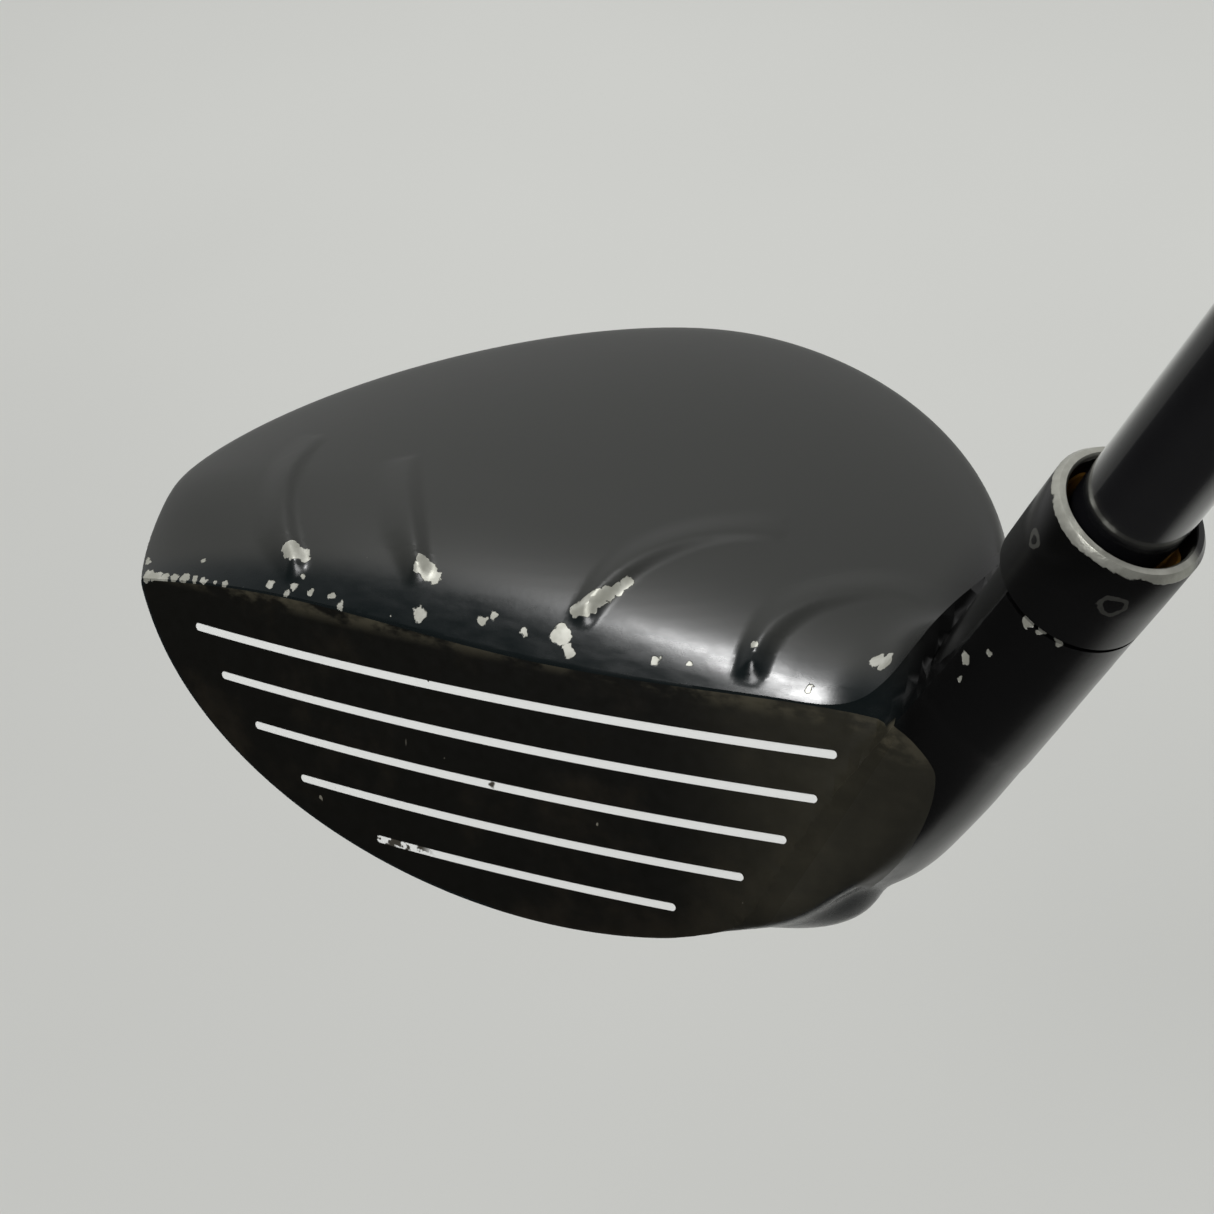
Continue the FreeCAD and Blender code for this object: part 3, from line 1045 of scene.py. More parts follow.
    def bore_tool(self) -> bpy.types.Object:
        """Sleeve bore, screw hole and wrench access as one turned solid.

        Returns:
            The tool.
        """
        hosel = self.hosel
        corners = [(0.0, -40 * MM), (hosel.access, -40 * MM), (hosel.access, hosel.web_bottom),
                   (hosel.screw_clear, hosel.web_bottom), (hosel.screw_clear, 1 * MM),
                   (5.76 * MM, 1 * MM), (5.76 * MM, hosel.key_top), (hosel.bore, hosel.key_top),
                   (hosel.bore, hosel.top - 0.4 * MM), (hosel.bore + 0.35 * MM, hosel.top),
                   (10 * MM, hosel.top), (10 * MM, 60 * MM), (0.0, 60 * MM)]
        tool = to_object(spun(corners, 96), "bore_tool")
        hosel.stand(tool)
        return tool

    def weight_tool(self) -> bpy.types.Object:
        """Pocket of the sole weight.

        Returns:
            The tool.
        """
        x, y = self.weight_at
        tool = to_object(spun([(0.0, -8 * MM), (6.0 * MM, -8 * MM), (6.0 * MM, 6 * MM), (0.0, 6 * MM)], 72),
                         "weight_tool")
        z = self.form.edge(x, y) - self.form.sole_drop(y)
        tool.data.transform(Matrix.Translation((x, y, z)) @ Matrix.Rotation(self.weight_tilt, 4, "X"))
        return tool

    def build(self, looks: "Looks") -> None:
        """Make and dress every piece of the head.

        Args:
            looks: Finishes of the club.
        """
        body = self.solid()
        plate_tool = self.plate_tool()
        plate = copy_of(body, "striking_plate")
        carve(plate, plate_tool, Cut.KEEP_SHARED, keep_tool=True)
        carve(body, plate_tool, Cut.REMOVE)
        for number, line in enumerate(self.lines):
            carve(plate, to_object(self.line_tool(line, 1 * MM), "slot"), Cut.REMOVE)
            paint = to_object(self.line_tool(line, -self.paint_low - self.rim_trim),
                              f"line_paint_{number + 1}")
            move_points(paint, self.face.restore)
            smooth_look(paint)
            fit(paint, Body.HEAD, ["score_line_paint"], looks.line_paint)
        for piece in (body, plate):
            move_points(piece, self.face.restore)
        carve(body, self.bore_tool(), Cut.REMOVE)
        carve(body, self.weight_tool(), Cut.REMOVE)
        joint = self.joint_tool()
        crown = copy_of(body, "crown_shell")
        carve(crown, joint, Cut.KEEP_SHARED, keep_tool=True)
        carve(body, joint, Cut.REMOVE)
        body.name = "head_shell"
        for piece in (body, plate, crown):
            smooth_look(piece)
        fit(body, Body.HEAD, ["head_body"], looks.head)
        fit(crown, Body.HEAD, ["crown_plate"], looks.head)
        fit(plate, Body.HEAD, ["face_plate"], looks.face)


# ------------------------------------------------------- sleeve, shaft, grip


@dataclass
class LoftSleeve:
    """Sleeve bonded on the shaft tip: barrel with keys, collar with an open mouth."""

    hosel: Hosel = field(default_factory=Hosel)
    barrel: float = 6.04 * MM
    key_root: float = 4.80 * MM
    key_tooth: float = 5.70 * MM
    key_count: int = 8
    key_angle: float = math.radians(18.0)
    bottom: float = 3.0 * MM
    rim: float = 45.1 * MM
    mouth: float = 5.85 * MM
    recess: float = 38.6 * MM
    shaft_hole: float = 5.02 * MM
    shaft_seat: float = 16.0 * MM
    screw_hole: float = 2.55 * MM

    def body_profile(self) -> list[Pair]:
        """Outline of the sleeve, from the root of its keys round to its screw hole.

        Returns:
            Its (radius, height) points.
        """
        collar = self.hosel.radius
        seam = self.hosel.top
        return [(self.key_root, self.bottom), (self.key_root, self.hosel.key_top + 0.2 * MM),
                (self.barrel, self.hosel.key_top + 0.2 * MM), (self.barrel, seam + 0.05 * MM),
                (collar - 0.45 * MM, seam + 0.05 * MM), (collar, seam + 0.45 * MM),
                (collar + 0.03 * MM, seam + 5 * MM), (collar, self.rim - 0.7 * MM),
                (collar - 0.45 * MM, self.rim - 0.05 * MM), (collar - 0.75 * MM, self.rim),
                (self.mouth + 0.25 * MM, self.rim), (self.mouth, self.rim - 0.3 * MM),
                (self.mouth, self.recess), (self.shaft_hole, self.recess),
                (self.shaft_hole, self.shaft_seat), (self.screw_hole, self.shaft_seat - 1 * MM),
                (self.screw_hole, self.bottom)]

    def keys(self, bm: bmesh.types.BMesh) -> None:
        """Add the ring of keys at the foot of the barrel.

        Args:
            bm: Mesh of the sleeve, still upright.
        """
        tall = self.hosel.key_top - self.bottom
        width = 2 * self.key_tooth * math.sin(self.key_angle / 2)
        for index in range(self.key_count):
            made = bmesh.ops.create_cube(bm, size=1.0)
            verts = made["verts"]
            bmesh.ops.scale(bm, vec=(self.key_tooth - self.key_root + 0.2 * MM, width, tall), verts=verts)
            middle = (self.key_tooth + self.key_root) / 2 - 0.12 * MM
            bmesh.ops.translate(bm, vec=(middle, 0, self.bottom + tall / 2), verts=verts)
            turn = Matrix.Rotation(index * math.tau / self.key_count, 3, "Z")
            bmesh.ops.rotate(bm, cent=(0, 0, 0), matrix=turn, verts=verts)

    def build(self, looks: "Looks") -> None:
        """Make and dress the sleeve and its bond ring.

        Args:
            looks: Finishes of the club.
        """
        bm = spun(self.body_profile(), 128, closed=True)
        self.keys(bm)
        sleeve = to_object(bm, "loft_sleeve")
        self.hosel.stand(sleeve)
        smooth_look(sleeve, 40.0)
        fit(sleeve, Body.HANDLE, ["adapter_sleeve"], looks.sleeve)
        inner, outer = 4.91 * MM, self.mouth
        low = self.recess
        profile = [(inner, self.shaft_seat), (self.shaft_hole - 0.01 * MM, self.shaft_seat),
                   (self.shaft_hole - 0.01 * MM, low), (outer - 0.01 * MM, low),
                   (outer - 0.01 * MM, low + 3.4 * MM), (outer - 0.18 * MM, low + 3.2 * MM),
                   (outer - 0.35 * MM, low + 1.8 * MM), (inner + 0.3 * MM, low + 0.9 * MM),
                   (inner, low + 1.3 * MM)]
        bm = spun(profile, 96, closed=True)
        for vert in bm.verts:
            turn = math.atan2(vert.co.y, vert.co.x)
            if vert.co.z > low + 0.5 * MM:
                vert.co.z += (0.7 * math.sin(turn * 3 + 1) + 0.5 * math.sin(turn * 7 + 2)) * MM * 0.8
        bond = to_object(bm, "bond_ring")
        self.hosel.stand(bond)
        smooth_look(bond)
        fit(bond, Body.HANDLE, ["sleeve_epoxy"], looks.epoxy)


@dataclass
class ClubShaft:
    """Tapered tube from the sleeve to the butt."""

    hosel: Hosel = field(default_factory=Hosel)
    tip: float = 4.90 * MM
    butt: float = 7.62 * MM
    parallel: float = 120.0 * MM
    seat: float = 16.0 * MM
    end: float = 984.0 * MM
    bore_tip: float = 3.0 * MM
    bore_butt: float = 6.45 * MM

    def radius(self, height: float) -> float:
        """Outside radius at a height along the axis.

        Args:
            height: Height on the hosel's axis.

        Returns:
            The radius.
        """
        if height <= self.parallel:
            return self.tip
        return self.tip + (self.butt - self.tip) * (height - self.parallel) / (self.end - self.parallel)

    def build(self, looks: "Looks") -> None:
        """Make and dress the tube.

        Args:
            looks: Finishes of the club.
        """
        heights = [self.seat + (self.end - self.seat) * step / 90 for step in range(91)]
        outside = [(self.radius(height), height) for height in heights]
        inside = [(self.bore_butt, self.end), (self.bore_tip, self.parallel), (self.bore_tip, self.seat)]
        tube = to_object(spun(outside + inside, 96, closed=True), "club_shaft")
        self.hosel.stand(tube)
        smooth_look(tube)
        fit(tube, Body.HANDLE, ["shaft"], looks.shaft)


@dataclass
class SwingGrip:
    """Slip-on rubber grip with ring grooves and an end cap."""

    hosel: Hosel = field(default_factory=Hosel)
    mouth: float = 722.0 * MM
    top: float = 984.0 * MM
    cap_top: float = 989.0 * MM
    mouth_radius: float = 10.25 * MM
    butt_radius: float = 13.1 * MM
    bore_mouth: float = 7.15 * MM
    bore_top: float = 7.97 * MM
    vent: float = 1.6 * MM
    ring_count: int = 3

    def outside(self) -> list[Pair]:
        """Outline of the rubber from its mouth to its top.

        Returns:
            Its (radius, height) points.
        """
        points = [(self.mouth_radius - 0.8 * MM, self.mouth), (self.mouth_radius, self.mouth + 0.8 * MM)]
        for index in range(self.ring_count):
            low = self.mouth + (4.0 + 3.0 * index) * MM
            points += [(self.mouth_radius, low), (self.mouth_radius - 0.45 * MM, low + 0.4 * MM),
                       (self.mouth_radius - 0.45 * MM, low + 1.2 * MM), (self.mouth_radius, low + 1.6 * MM)]
        for step in range(101):
            share = step / 100
            height = self.mouth + 15 * MM + (self.top - self.mouth - 31 * MM) * share
            radius = self.mouth_radius - 0.3 * MM + (self.butt_radius - 0.3 * MM - self.mouth_radius) * share
            points.append((radius, height))
        points += [(self.butt_radius, self.top - 5 * MM), (self.butt_radius, self.top)]
        return points

    def build(self, looks: "Looks") -> None:
        """Make and dress the rubber and the cap.

        Args:
            looks: Finishes of the club.
        """
        inside = [(self.bore_top, self.top), (self.bore_mouth, self.mouth + 0.4 * MM),
                  (self.bore_mouth + 0.4 * MM, self.mouth)]
        rubber = to_object(spun(self.outside() + inside, 128, closed=True), "rubber_grip")
        self.hosel.stand(rubber)
        smooth_look(rubber, 50.0)
        fit(rubber, Body.HANDLE, ["grip"], looks.rubber)
        wide = self.butt_radius + 0.2 * MM
        corners = [(self.vent, self.top), (wide - 0.4 * MM, self.top), (wide, self.top + 0.5 * MM),
                   (wide, self.top + 2.6 * MM), (wide - 0.9 * MM, self.top + 3.9 * MM),
                   (wide - 2.4 * MM, self.cap_top - 0.4 * MM), (8 * MM, self.cap_top - 0.2 * MM),
                   (7.4 * MM, self.cap_top - 0.8 * MM), (6.4 * MM, self.cap_top - 0.8 * MM),
                   (5.8 * MM, self.cap_top - 0.1 * MM), (2.2 * MM, self.cap_top),
                   (self.vent, self.cap_top - 0.4 * MM)]
        profile = rounded(corners, 0.5 * MM)
        cap = to_object(spun(profile, 128, closed=True), "butt_cap")
        self.hosel.stand(cap)
        smooth_look(cap, 50.0)
        fit(cap, Body.HANDLE, ["grip_cap"], looks.rubber)


# ------------------------------------------------------------------ finishes


Colour = tuple[float, float, float]
Spot = tuple[float, float, float, float]


@dataclass(frozen=True)
class BareMetal:
    """Metal that shows where the paint is knocked off."""

    colour: Colour = (0.33, 0.33, 0.285)
    bright: Colour = (0.50, 0.50, 0.45)
    metallic: float = 0.35
    roughness: float = 0.42

    def marks(self, graph: Graph, coords: Tap, spots: Sequence[Spot], ragged: float = 1.5 * MM) -> Tap:
        """Mask of ragged chips.

        Args:
            graph: Material that is being built.
            coords: Plain object coordinates.
            spots: Centres and radii in millimetres.
            ragged: How far a chip's edge wanders.

        Returns:
            1 on bare metal and 0 on paint.
        """
        uneven = graph.roughened(coords, 950.0, ragged)
        return graph.spots(uneven, [tuple(value * MM for value in spot) for spot in spots], 0.10 * MM)


@dataclass(frozen=True)
class HeadPaint:
    """Dark paint of body and crown: satin on top, glossier in front and on the hosel, chipped. The front band
    is painted darker and teal-tinted, and the hosel darker still, as painted shade of the one black paint.
    """

    metal: BareMetal = field(default_factory=BareMetal)
    face: FaceForm = field(default_factory=FaceForm)
    corner: float = 3.2 * MM
    crown: Colour = (0.018, 0.019, 0.0168)
    # front: the crown paint painted darker and teal-tinted on the front band, a painted dark reflection.
    front: Colour = (0.0050, 0.0075, 0.0080)
    # neck: the same paint painted near black on the hosel, painted shade.
    neck: Colour = (0.0015, 0.0015, 0.0015)
    ridge_chips: tuple[Spot, ...] = (
        (-28.4, 11.8, 34.4, 1.2), (-27.2, 11.6, 34.1, 1.0), (-26.4, 11.4, 33.6, 0.6),
        (-12.0, 12.4, 35.8, 0.5), (-11.3, 11.7, 35.2, 0.95), (-10.7, 11.3, 34.8, 1.0),
        (-9.8, 11.1, 34.4, 0.6),
        (7.0, 10.4, 34.1, 0.9), (8.1, 10.8, 34.7, 1.15), (9.0, 11.7, 34.9, 1.0), (9.6, 12.6, 34.9, 0.85),
        (10.3, 13.5, 34.9, 0.75), (11.0, 14.4, 34.9, 0.65), (26.0, 10.9, 33.3, 0.5))
    front_chips: tuple[Spot, ...] = (
        (-10.1, 7.5, 32.4, 0.8), (-2.9, 7.9, 32.6, 0.6), (-1.9, 8.5, 33.0, 0.45), (2.0, 7.6, 32.3, 0.42),
        (6.1, 8.1, 32.4, 1.1), (7.3, 7.0, 31.7, 0.75), (16.5, 8.0, 31.7, 0.5), (20.0, 8.2, 31.6, 0.32),
        (32.3, 8.8, 30.6, 0.35), (37.9, 12.5, 32.2, 0.85), (38.9, 12.2, 32.6, 0.9), (49.6, 6.2, 40.8, 0.55),
        (52.1, 5.4, 42.6, 0.42), (49.1, 5.6, 38.7, 0.35))
    toe_chips: tuple[Spot, ...] = (
        (-49.8, 11.9, 28.4, 0.55), (-48.2, 9.8, 28.3, 0.8), (-46.8, 9.5, 28.6, 0.85), (-45.4, 9.3, 28.8, 0.7),
        (-43.9, 9.2, 29.2, 0.75), (-42.3, 9.2, 29.6, 0.6), (-40.6, 11.1, 30.7, 0.42), (-40.8, 8.9, 29.9, 0.5),
        (-39.3, 8.8, 30.1, 0.45), (-37.5, 8.6, 30.3, 0.35), (-36.0, 8.4, 30.5, 0.4), (-29.8, 8.4, 31.8, 0.5),
        (-27.4, 7.8, 31.5, 0.4), (-26.6, 8.5, 32.0, 0.45), (-25.9, 9.5, 32.6, 0.38), (-24.3, 8.1, 32.0, 0.4),
        (-21.4, 8.0, 32.2, 0.42), (-20.0, 7.3, 31.7, 0.35))
    seam_chips: tuple[Spot, ...] = (
        (56.1, 5.1, 47.3, 0.6), (57.4, 5.0, 46.6, 0.45), (58.7, 5.0, 45.8, 0.4), (53.3, 8.0, 49.9, 0.5))

    def face_zone(self, graph: Graph, coords: Tap) -> Tap:
        """Mask of the face finish where it runs on past the plate, up to the hosel.

        Args:
            graph: Material that is being built.
            coords: Plain object coordinates.

        Returns:
            1 on the face finish and 0 on paint.
        """
        x, y, z = graph.split(coords)
        under = (27.0 * MM - z).clipped(0.0, 1.0)
        limit = (under / MM) ** 1.7 * (-0.060 * MM) + 46.0 * MM
        crest = (x - 37.0 * MM) * (x - 37.0 * MM) * (-0.018 / MM) + 30.9 * MM
        over = (x - limit + self.corner).clipped(0.0, 1.0)
        above = (z - crest + self.corner).clipped(0.0, 1.0)
        inside = ((over * over + above * above) ** 0.5).band(self.corner + 0.06 * MM, self.corner - 0.06 * MM)
        near = y.band(7.5 * MM, 6.5 * MM)
        sine, cosine = math.sin(self.face.loft), math.cos(self.face.loft)
        up = y * sine + (z - self.face.height) * cosine
        out = (z - self.face.height) * sine - y * cosine + (x * x + up * up) / (2 * self.face.radius)
        flat = out.band(-0.50 * MM, -0.25 * MM).largest(x.band(37.0 * MM, 38.0 * MM))
        return inside * near * flat

    def make(self) -> bpy.types.Material:
        """Build the material.

        Returns:
            The material.
        """
        graph = Graph("head_paint")
        place = graph.place()
        x, y, _ = graph.split(place)
        cloud = graph.noise(place, 60.0, 4.0)
        # Mask of the front band: it carries the painted dark reflection below, and also the roughness streaks
        # and the toe specks.
        front = y.band(13.0 * MM, 9.0 * MM)
        # Mask of the hosel, which gets the painted shade colour and a glossier roughness.
        neck = x.band(38.0 * MM, 44.0 * MM)
        crown = graph.blend(cloud, self.crown, tuple(c * 1.15 for c in self.crown))
        # The front band gets the painted shade colour over the crown paint.
        paint = graph.blend(front, crown, self.front)
        # The hosel gets the painted shade colour.
        paint = graph.blend(neck, paint, self.neck)
        chips = self.ridge_chips + self.front_chips + self.toe_chips + self.seam_chips
        bare = self.metal.marks(graph, place, chips)
        speck = graph.noise(graph.stretched(place, (1.0, 1.0, 1.6)), 620.0, 2.0)
        bare = bare.largest(speck.band(0.735, 0.745) * front * x.band(-8.0 * MM, -14.0 * MM))
        scuff = graph.noise(place, 480.0, 3.0).band(0.40, 0.75)
        metal = graph.blend(scuff, self.metal.colour, self.metal.bright)
        face = self.face_zone(graph, place)
        finish = FaceFinish()
        colour = graph.blend(bare, graph.blend(face, paint, finish.colour(graph, place)), metal)
        streak = graph.noise(graph.stretched(place, (0.35, 1.0, 1.0)), 800.0, 3.0)
        rough = front * (streak * 0.22 - 0.29) + 0.44
        rough = rough * (1.0 - neck) + neck * 0.20
        rough = rough * (1.0 - face) + face * finish.roughness
        rough = rough * (1.0 - bare) + bare * self.metal.roughness
        grain = graph.bump(graph.noise(place, 1400.0, 2.0), 0.02 * MM, 0.25)
        graph.set(Base_Color=colour, Roughness=rough + (cloud - 0.5) * 0.06,
                  Metallic=bare * self.metal.metallic,
                  Normal=graph.bump(bare * -1.0, 0.10 * MM, 1.0, grain))
        return graph.material


@dataclass(frozen=True)
class FaceFinish:
    """Dark worn finish of the striking face."""

    base: Colour = (0.0022, 0.0020, 0.0010)
    worn: Colour = (0.0110, 0.0085, 0.0050)
    heel: Colour = (0.0340, 0.0310, 0.0200)
    edge: Colour = (0.0450, 0.0400, 0.0260)
    roughness: float = 0.46

    def colour(self, graph: Graph, coords: Tap) -> Tap:
        """Mottled colour, browner at the heel and along the top edge, with a painted dark reflection band
        down the middle.

        Args:
            graph: Material that is being built.
            coords: Plain object coordinates.

        Returns:
            The colour.
        """
        x, _, z = graph.split(coords)
        wide = graph.noise(coords, 70.0, 6.0, 0.65)
        fine = graph.noise(graph.stretched(coords, (0.5, 1.0, 1.0)), 380.0, 4.0, 0.6)
        # Painted dark reflection: a vertical band in the middle of the face where the light mottle is held
        # back.
        dark_reflection_band = x.band(-14.5 * MM, -12.5 * MM) * x.band(-4.0 * MM, -6.5 * MM)
        worn = wide.band(0.46, 0.70) * (1.0 - dark_reflection_band * 0.85)
        colour = graph.blend(worn, self.base, self.worn)
        heel = x.band(16.0 * MM, 36.0 * MM) * (wide * 0.9 + fine * 0.5 - 0.15)
        colour = graph.blend(heel, colour, self.heel)
        crest = (x + 10.0 * MM) * (x + 10.0 * MM) * (-0.0011 / MM) + 31.1 * MM
        rim = (z - crest).band(-1.5 * MM, 0.2 * MM) * fine.band(0.45, 0.62)
        return graph.blend(rim, colour, self.edge)

    def make(self) -> bpy.types.Material:
        """Build the material.

        Returns:
            The material.
        """
        graph = Graph("face_finish")
        place = graph.place()
        dings = graph.noise(graph.stretched(place, (1.0, 1.0, 0.7)), 520.0, 2.0).band(0.765, 0.785)
        scratch = graph.noise(graph.stretched(place, (2.4, 1.0, 0.25)), 260.0, 1.0).band(0.795, 0.81)
        marks = dings.largest(scratch)
        fine = graph.noise(place, 900.0, 3.0)
        graph.set(Base_Color=graph.blend(marks, self.colour(graph, place), (0.16, 0.15, 0.12)),
                  Roughness=fine * 0.14 + (self.roughness - 0.07), Specular_IOR_Level=0.35,
                  Normal=graph.bump(fine - marks * 0.6, 0.03 * MM, 0.35))
        return graph.material


@dataclass(frozen=True)
class LinePaint:
    """White paint of the score lines, with nicks and worn ends."""

    white: Colour = (0.86, 0.87, 0.85)
    edge: Colour = (0.60, 0.61, 0.60)
    dirt: Colour = (0.05, 0.045, 0.035)

    def make(self) -> bpy.types.Material:
        """Build the material.

        Returns:
            The material.
        """
        graph = Graph("white_line_paint")
        place = graph.place()
        x, _, z = graph.split(place)
        nick = graph.spots(graph.roughened(place, 1200.0, 1.0 * MM),
                           [(-1.6 * MM, 0.4 * MM, 16.9 * MM, 0.4 * MM)])
        low = z.band(9.2 * MM, 8.6 * MM) * x.band(-9.0 * MM, -11.0 * MM)
        gone = graph.noise(place, 850.0, 3.0).band(0.50, 0.56) * low
        tiny = graph.noise(place, 700.0, 2.0).band(0.76, 0.78)
        cloud = graph.noise(place, 300.0, 3.0)
        colour = graph.blend(cloud, self.white, tuple(c * 0.93 for c in self.white))
        graph.set(Base_Color=graph.blend(nick.largest(gone).largest(tiny), colour, self.dirt), Roughness=0.42)
        return graph.material


@dataclass(frozen=True)
class SleeveFinish:
    """Black anodised sleeve with a worn bright rim."""

    metal: BareMetal = field(default_factory=BareMetal)
    hosel: Hosel = field(default_factory=Hosel)
    rim: float = 45.1 * MM
    black: Colour = (0.0020, 0.0020, 0.0019)
    spots: tuple[Spot, ...] = ((56.5, 7.4, 54.6, 0.85), (63.6, 5.2, 50.5, 1.3))
    cores: tuple[Spot, ...] = ((56.5, 7.4, 54.6, 0.35), (63.6, 5.2, 50.5, 0.85))

    def make(self) -> bpy.types.Material:
        """Build the material.

        Returns:
            The material.
        """
        graph = Graph("sleeve_black")
        place = graph.place()
        axis = graph.place(self.hosel.lean, self.hosel.base)
        x, y, high = graph.split(axis)
        out = (x * x + y * y) ** 0.5
        wander = graph.noise(axis, 420.0, 4.0, 0.6)
        worn = (high + (wander - 0.5) * 1.5 * MM).band(self.rim - 0.80 * MM, self.rim - 0.70 * MM)
        worn = worn * out.band(5.80 * MM, 5.95 * MM) * (x * 0.7 + y).band(4.6 * MM, 2.0 * MM)
        ring = self.metal.marks(graph, place, self.spots, 1.0 * MM)
        core = self.metal.marks(graph, place, self.cores, 1.0 * MM)
        patch = ring * (1.0 - core) * 0.09
        bare = worn.largest(patch)
        shade = graph.blend(graph.noise(place, 1300.0, 2.0), self.metal.colour, self.metal.bright)
        graph.set(Base_Color=graph.blend(bare, self.black, shade), Metallic=worn * 0.6,
                  Roughness=worn * 0.12 + 0.24, Normal=graph.bump(wander * worn, 0.2 * MM, 0.8))
        return graph.material


@dataclass(frozen=True)
class Plain:
    """Finish with fine grain and slow colour change."""

    name: str
    base: Colour
    second: Colour
    roughness: float
    metallic: float = 0.0
    coat: float = 0.0
    scale: float = 120.0
    grain: float = 0.02 * MM

    def make(self) -> bpy.types.Material:
        """Build the material.

        Returns:
            The material.
        """
        graph = Graph(self.name)
        place = graph.place()
        cloud = graph.noise(place, self.scale, 4.0)
        fine = graph.noise(place, self.scale * 12, 2.0)
        graph.set(Base_Color=graph.blend(cloud, self.base, self.second), Metallic=self.metallic,
                  Roughness=cloud * 0.1 + (self.roughness - 0.05), Coat_Weight=self.coat,
                  Normal=graph.bump(fine, self.grain, 0.3))
        return graph.material


class Looks:
    """Every finish of the club, made once."""

    def __init__(self) -> None:
        """Make the materials."""
        self.head = HeadPaint().make()
        self.face = FaceFinish().make()
        self.line_paint = LinePaint().make()
        self.sleeve = SleeveFinish().make()
        self.epoxy = Plain("amber_epoxy", (0.25, 0.12, 0.02), (0.10, 0.05, 0.01), 0.3, scale=900.0).make()
        self.shaft = Plain("shaft_gloss", (0.0035, 0.0035, 0.004), (0.006, 0.006, 0.007), 0.20,
                           coat=1.0).make()
        self.rubber = Plain("grip_rubber", (0.012, 0.012, 0.012), (0.02, 0.02, 0.02), 0.75, scale=400.0,
                            grain=0.15 * MM).make()
        self.steel = Plain("turned_steel", (0.35, 0.35, 0.36), (0.28, 0.28, 0.29), 0.35, 1.0).make()
        self.nylon = Plain("retainer_nylon", (0.7, 0.69, 0.65), (0.62, 0.61, 0.57), 0.5).make()
        self.tape = Plain("grip_tape", (0.6, 0.55, 0.4), (0.5, 0.45, 0.32), 0.8).make()
        self.plug = Plain("tip_plug", (0.4, 0.34, 0.25), (0.3, 0.26, 0.2), 0.7).make()


def dress_frame(looks: Looks) -> None:
    """Give the frame's own small parts their finishes.

    Args:
        looks: Finishes of the club.
    """
    finishes = {"rear_weight": looks.steel, "adapter_screw": looks.steel, "screw_washer": looks.steel,
                "screw_retainer": looks.nylon, "grip_tape": looks.tape, "shaft_tip_plug": looks.plug}
    for name, material in finishes.items():
        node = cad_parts[name]
        node.data.materials.clear()
        node.data.materials.append(material)
        LOG.info("%s: dressed", name)


# --------------------------------------------------------------------- stage


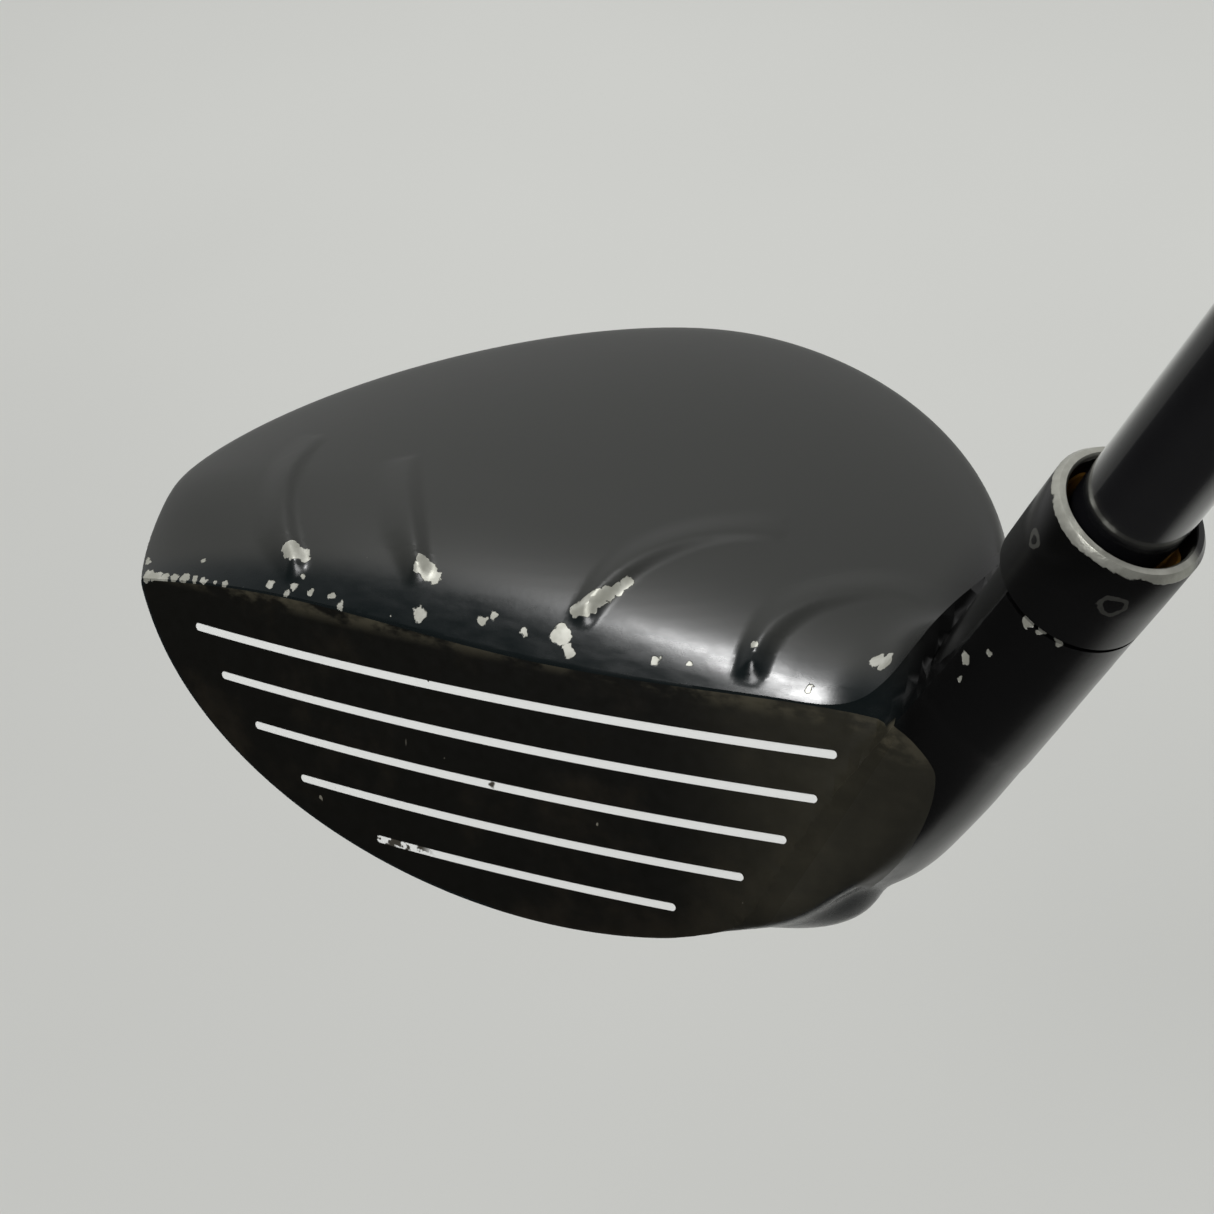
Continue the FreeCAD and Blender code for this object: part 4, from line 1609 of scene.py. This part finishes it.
@dataclass(frozen=True)
class Studio:
    """Camera, turned in degrees, with the floor (painted with a light gradient), a dark sheet that paints
    dark reflections, lamps and room.
    """

    camera_at: tuple[float, float, float] = (0.11016, -0.13395, 0.17885)
    camera_turn: tuple[float, float, float] = (49.8454, 10.5645, 25.7911)
    lens: float = 68.2
    floor_z: float = -0.50
    near_floor_painted_shade: Colour = (0.60, 0.605, 0.58)
    far_floor_painted_light: Colour = (0.90, 0.91, 0.87)
    dark_reflection_sheet: Colour = (0.05, 0.05, 0.05)
    seen_room: tuple[float, float, float, float] = (0.62, 0.63, 0.60, 1.0)

    def set_camera(self) -> None:
        """Place the camera close over the heel side of the face."""
        data = bpy.data.cameras.new("view")
        data.lens = self.lens
        data.sensor_width = 36.0
        data.clip_start = 0.01
        data.clip_end = 60.0
        camera = bpy.data.objects.new("view", data)
        bpy.context.scene.collection.objects.link(camera)
        camera.location = self.camera_at
        camera.rotation_euler = [math.radians(angle) for angle in self.camera_turn]
        bpy.context.scene.camera = camera

    def lay_floor(self) -> None:
        """Pale floor well under the held club, painted darker near it and paler further back as painted
        shade.
        """
        bm = bmesh.new()
        bmesh.ops.create_grid(bm, x_segments=2, y_segments=2, size=12.0)
        bmesh.ops.translate(bm, vec=(0, 0, self.floor_z), verts=bm.verts)
        floor = to_object(bm, "floor")
        graph = Graph("floor_paper")
        place = graph.place()
        _, y, _ = graph.split(place)
        cloud = graph.noise(place, 3.0, 2.0)
        # Painted light gradient: darker near the club, paler further back, with a faint random cloud.
        graph.set(Base_Color=graph.blend(cloud * 0.2 + y.band(0.1, 1.1) * 0.8, self.near_floor_painted_shade,
                                         self.far_floor_painted_light), Roughness=0.9)
        floor.data.materials.append(graph.material)

    def lay_reflection_sheet(self) -> None:
        """Dark sheet over the floor in front of the club, seen by reflections alone: a painted dark
        reflection on the head's front.
        """
        bm = bmesh.new()
        bmesh.ops.create_grid(bm, x_segments=1, y_segments=1, size=6.0)
        bmesh.ops.translate(bm, vec=(0, -5.9, self.floor_z + 2 * MM), verts=bm.verts)
        reflection_sheet = to_object(bm, "reflection_sheet")
        for ray in ("camera", "diffuse", "transmission", "volume_scatter", "shadow"):
            setattr(reflection_sheet, f"visible_{ray}", False)
        graph = Graph("dark_reflection_sheet")
        _, y, _ = graph.split(graph.place())
        # Black sheet that fades out towards the club; only reflections see it, so it paints dark reflections.
        graph.set(Base_Color=self.dark_reflection_sheet, Roughness=0.9, Alpha=y.band(0.10, -0.20))
        reflection_sheet.data.materials.append(graph.material)

    def lamp(self, name: str, at: Sequence[float], size: float, power: float, glint: bool = True) -> None:
        """Add one square soft lamp aimed at the head.

        Args:
            name: Name of the lamp.
            at: Its place.
            size: Length of its side.
            power: Power in watts.
            glint: False for a lamp that leaves no highlight.
        """
        data = bpy.data.lights.new(name, "AREA")
        data.size = size
        data.energy = power
        lamp = bpy.data.objects.new(name, data)
        lamp.location = at
        lamp.rotation_euler = (Vector((0, 0.03, 0.03)) - Vector(at)).to_track_quat("-Z", "Y").to_euler()
        lamp.visible_glossy = glint
        bpy.context.scene.collection.objects.link(lamp)

    def light(self) -> None:
        """Bright soft ceiling, room that is dimmer in front of the face, and three lamps."""
        world = bpy.data.worlds.new("room")
        bpy.context.scene.world = world
        world.use_nodes = True
        tree = world.node_tree
        coords = tree.nodes.new("ShaderNodeTexCoord")
        split = tree.nodes.new("ShaderNodeSeparateXYZ")
        tree.links.new(coords.outputs["Generated"], split.inputs[0])
        self.gradient(tree, split.outputs[2], (0.0, 0.6), (0.60, 0.48), "MIX")
        self.gradient(tree, split.outputs[1], (-0.40, 0.45), (0.02, 1.0), "MULTIPLY")
        seen = tree.nodes.new("ShaderNodeLightPath").outputs["Is Camera Ray"]
        self.layer(tree, seen, self.seen_room)
        tree.nodes["Background"].inputs[1].default_value = 1.0
        self.lamp("key", (-0.27, -0.12, 1.55), 0.26, 14.0)
        self.lamp("front", (0.10, -1.20, 1.30), 0.7, 16.0)
        self.lamp("back", (-1.3, 1.7, 1.1), 0.9, 8.0, glint=False)

    def gradient(self, tree: Any, source: Any, span: Pair, values: Pair, mode: str) -> None:
        """Layer one smooth gradient over the room's brightness.

        Args:
            tree: Node tree of the room.
            source: Socket with one part of the view direction.
            span: Range of the source.
            values: Brightness at its two ends.
            mode: How it joins what is already there.
        """
        ramp = tree.nodes.new("ShaderNodeMapRange")
        ramp.interpolation_type = "SMOOTHSTEP"
        for index, value in enumerate((*span, *values), start=1):
            ramp.inputs[index].default_value = value
        tree.links.new(source, ramp.inputs[0])
        mix = self.layer(tree, None, None, mode)
        tree.links.new(ramp.outputs[0], mix.inputs[7])

    def layer(self, tree: Any, share: Any, colour: Any, mode: str = "MIX") -> Any:
        """Put one more mix node in front of the room's background.

        Args:
            tree: Node tree of the room.
            share: Socket with the share of the new colour, or None for all of it.
            colour: The new colour, or None where it is linked afterwards.
            mode: How the colour joins what is already there.

        Returns:
            The mix node.
        """
        target = tree.nodes["Background"].inputs[0]
        mix = tree.nodes.new("ShaderNodeMix")
        mix.data_type = "RGBA"
        mix.blend_type = mode
        mix.inputs[0].default_value = 1.0
        if share:
            tree.links.new(share, mix.inputs[0])
        if colour:
            mix.inputs[7].default_value = colour
        if target.is_linked:
            tree.links.new(target.links[0].from_socket, mix.inputs[6])
        tree.links.new(mix.outputs[2], target)
        return mix

    def set_up(self) -> None:
        """Build the whole stage."""
        bpy.context.scene.view_settings.view_transform = "Standard"
        self.set_camera()
        self.lay_floor()
        self.lay_reflection_sheet()
        self.light()


def main() -> None:
    """Build the club and its stage."""
    logging.basicConfig(level=logging.INFO, format="%(name)s %(message)s")
    looks = Looks()
    ClubHead().build(looks)
    LoftSleeve().build(looks)
    ClubShaft().build(looks)
    SwingGrip().build(looks)
    dress_frame(looks)
    Studio().set_up()


if __name__ == "__main__":
    main()
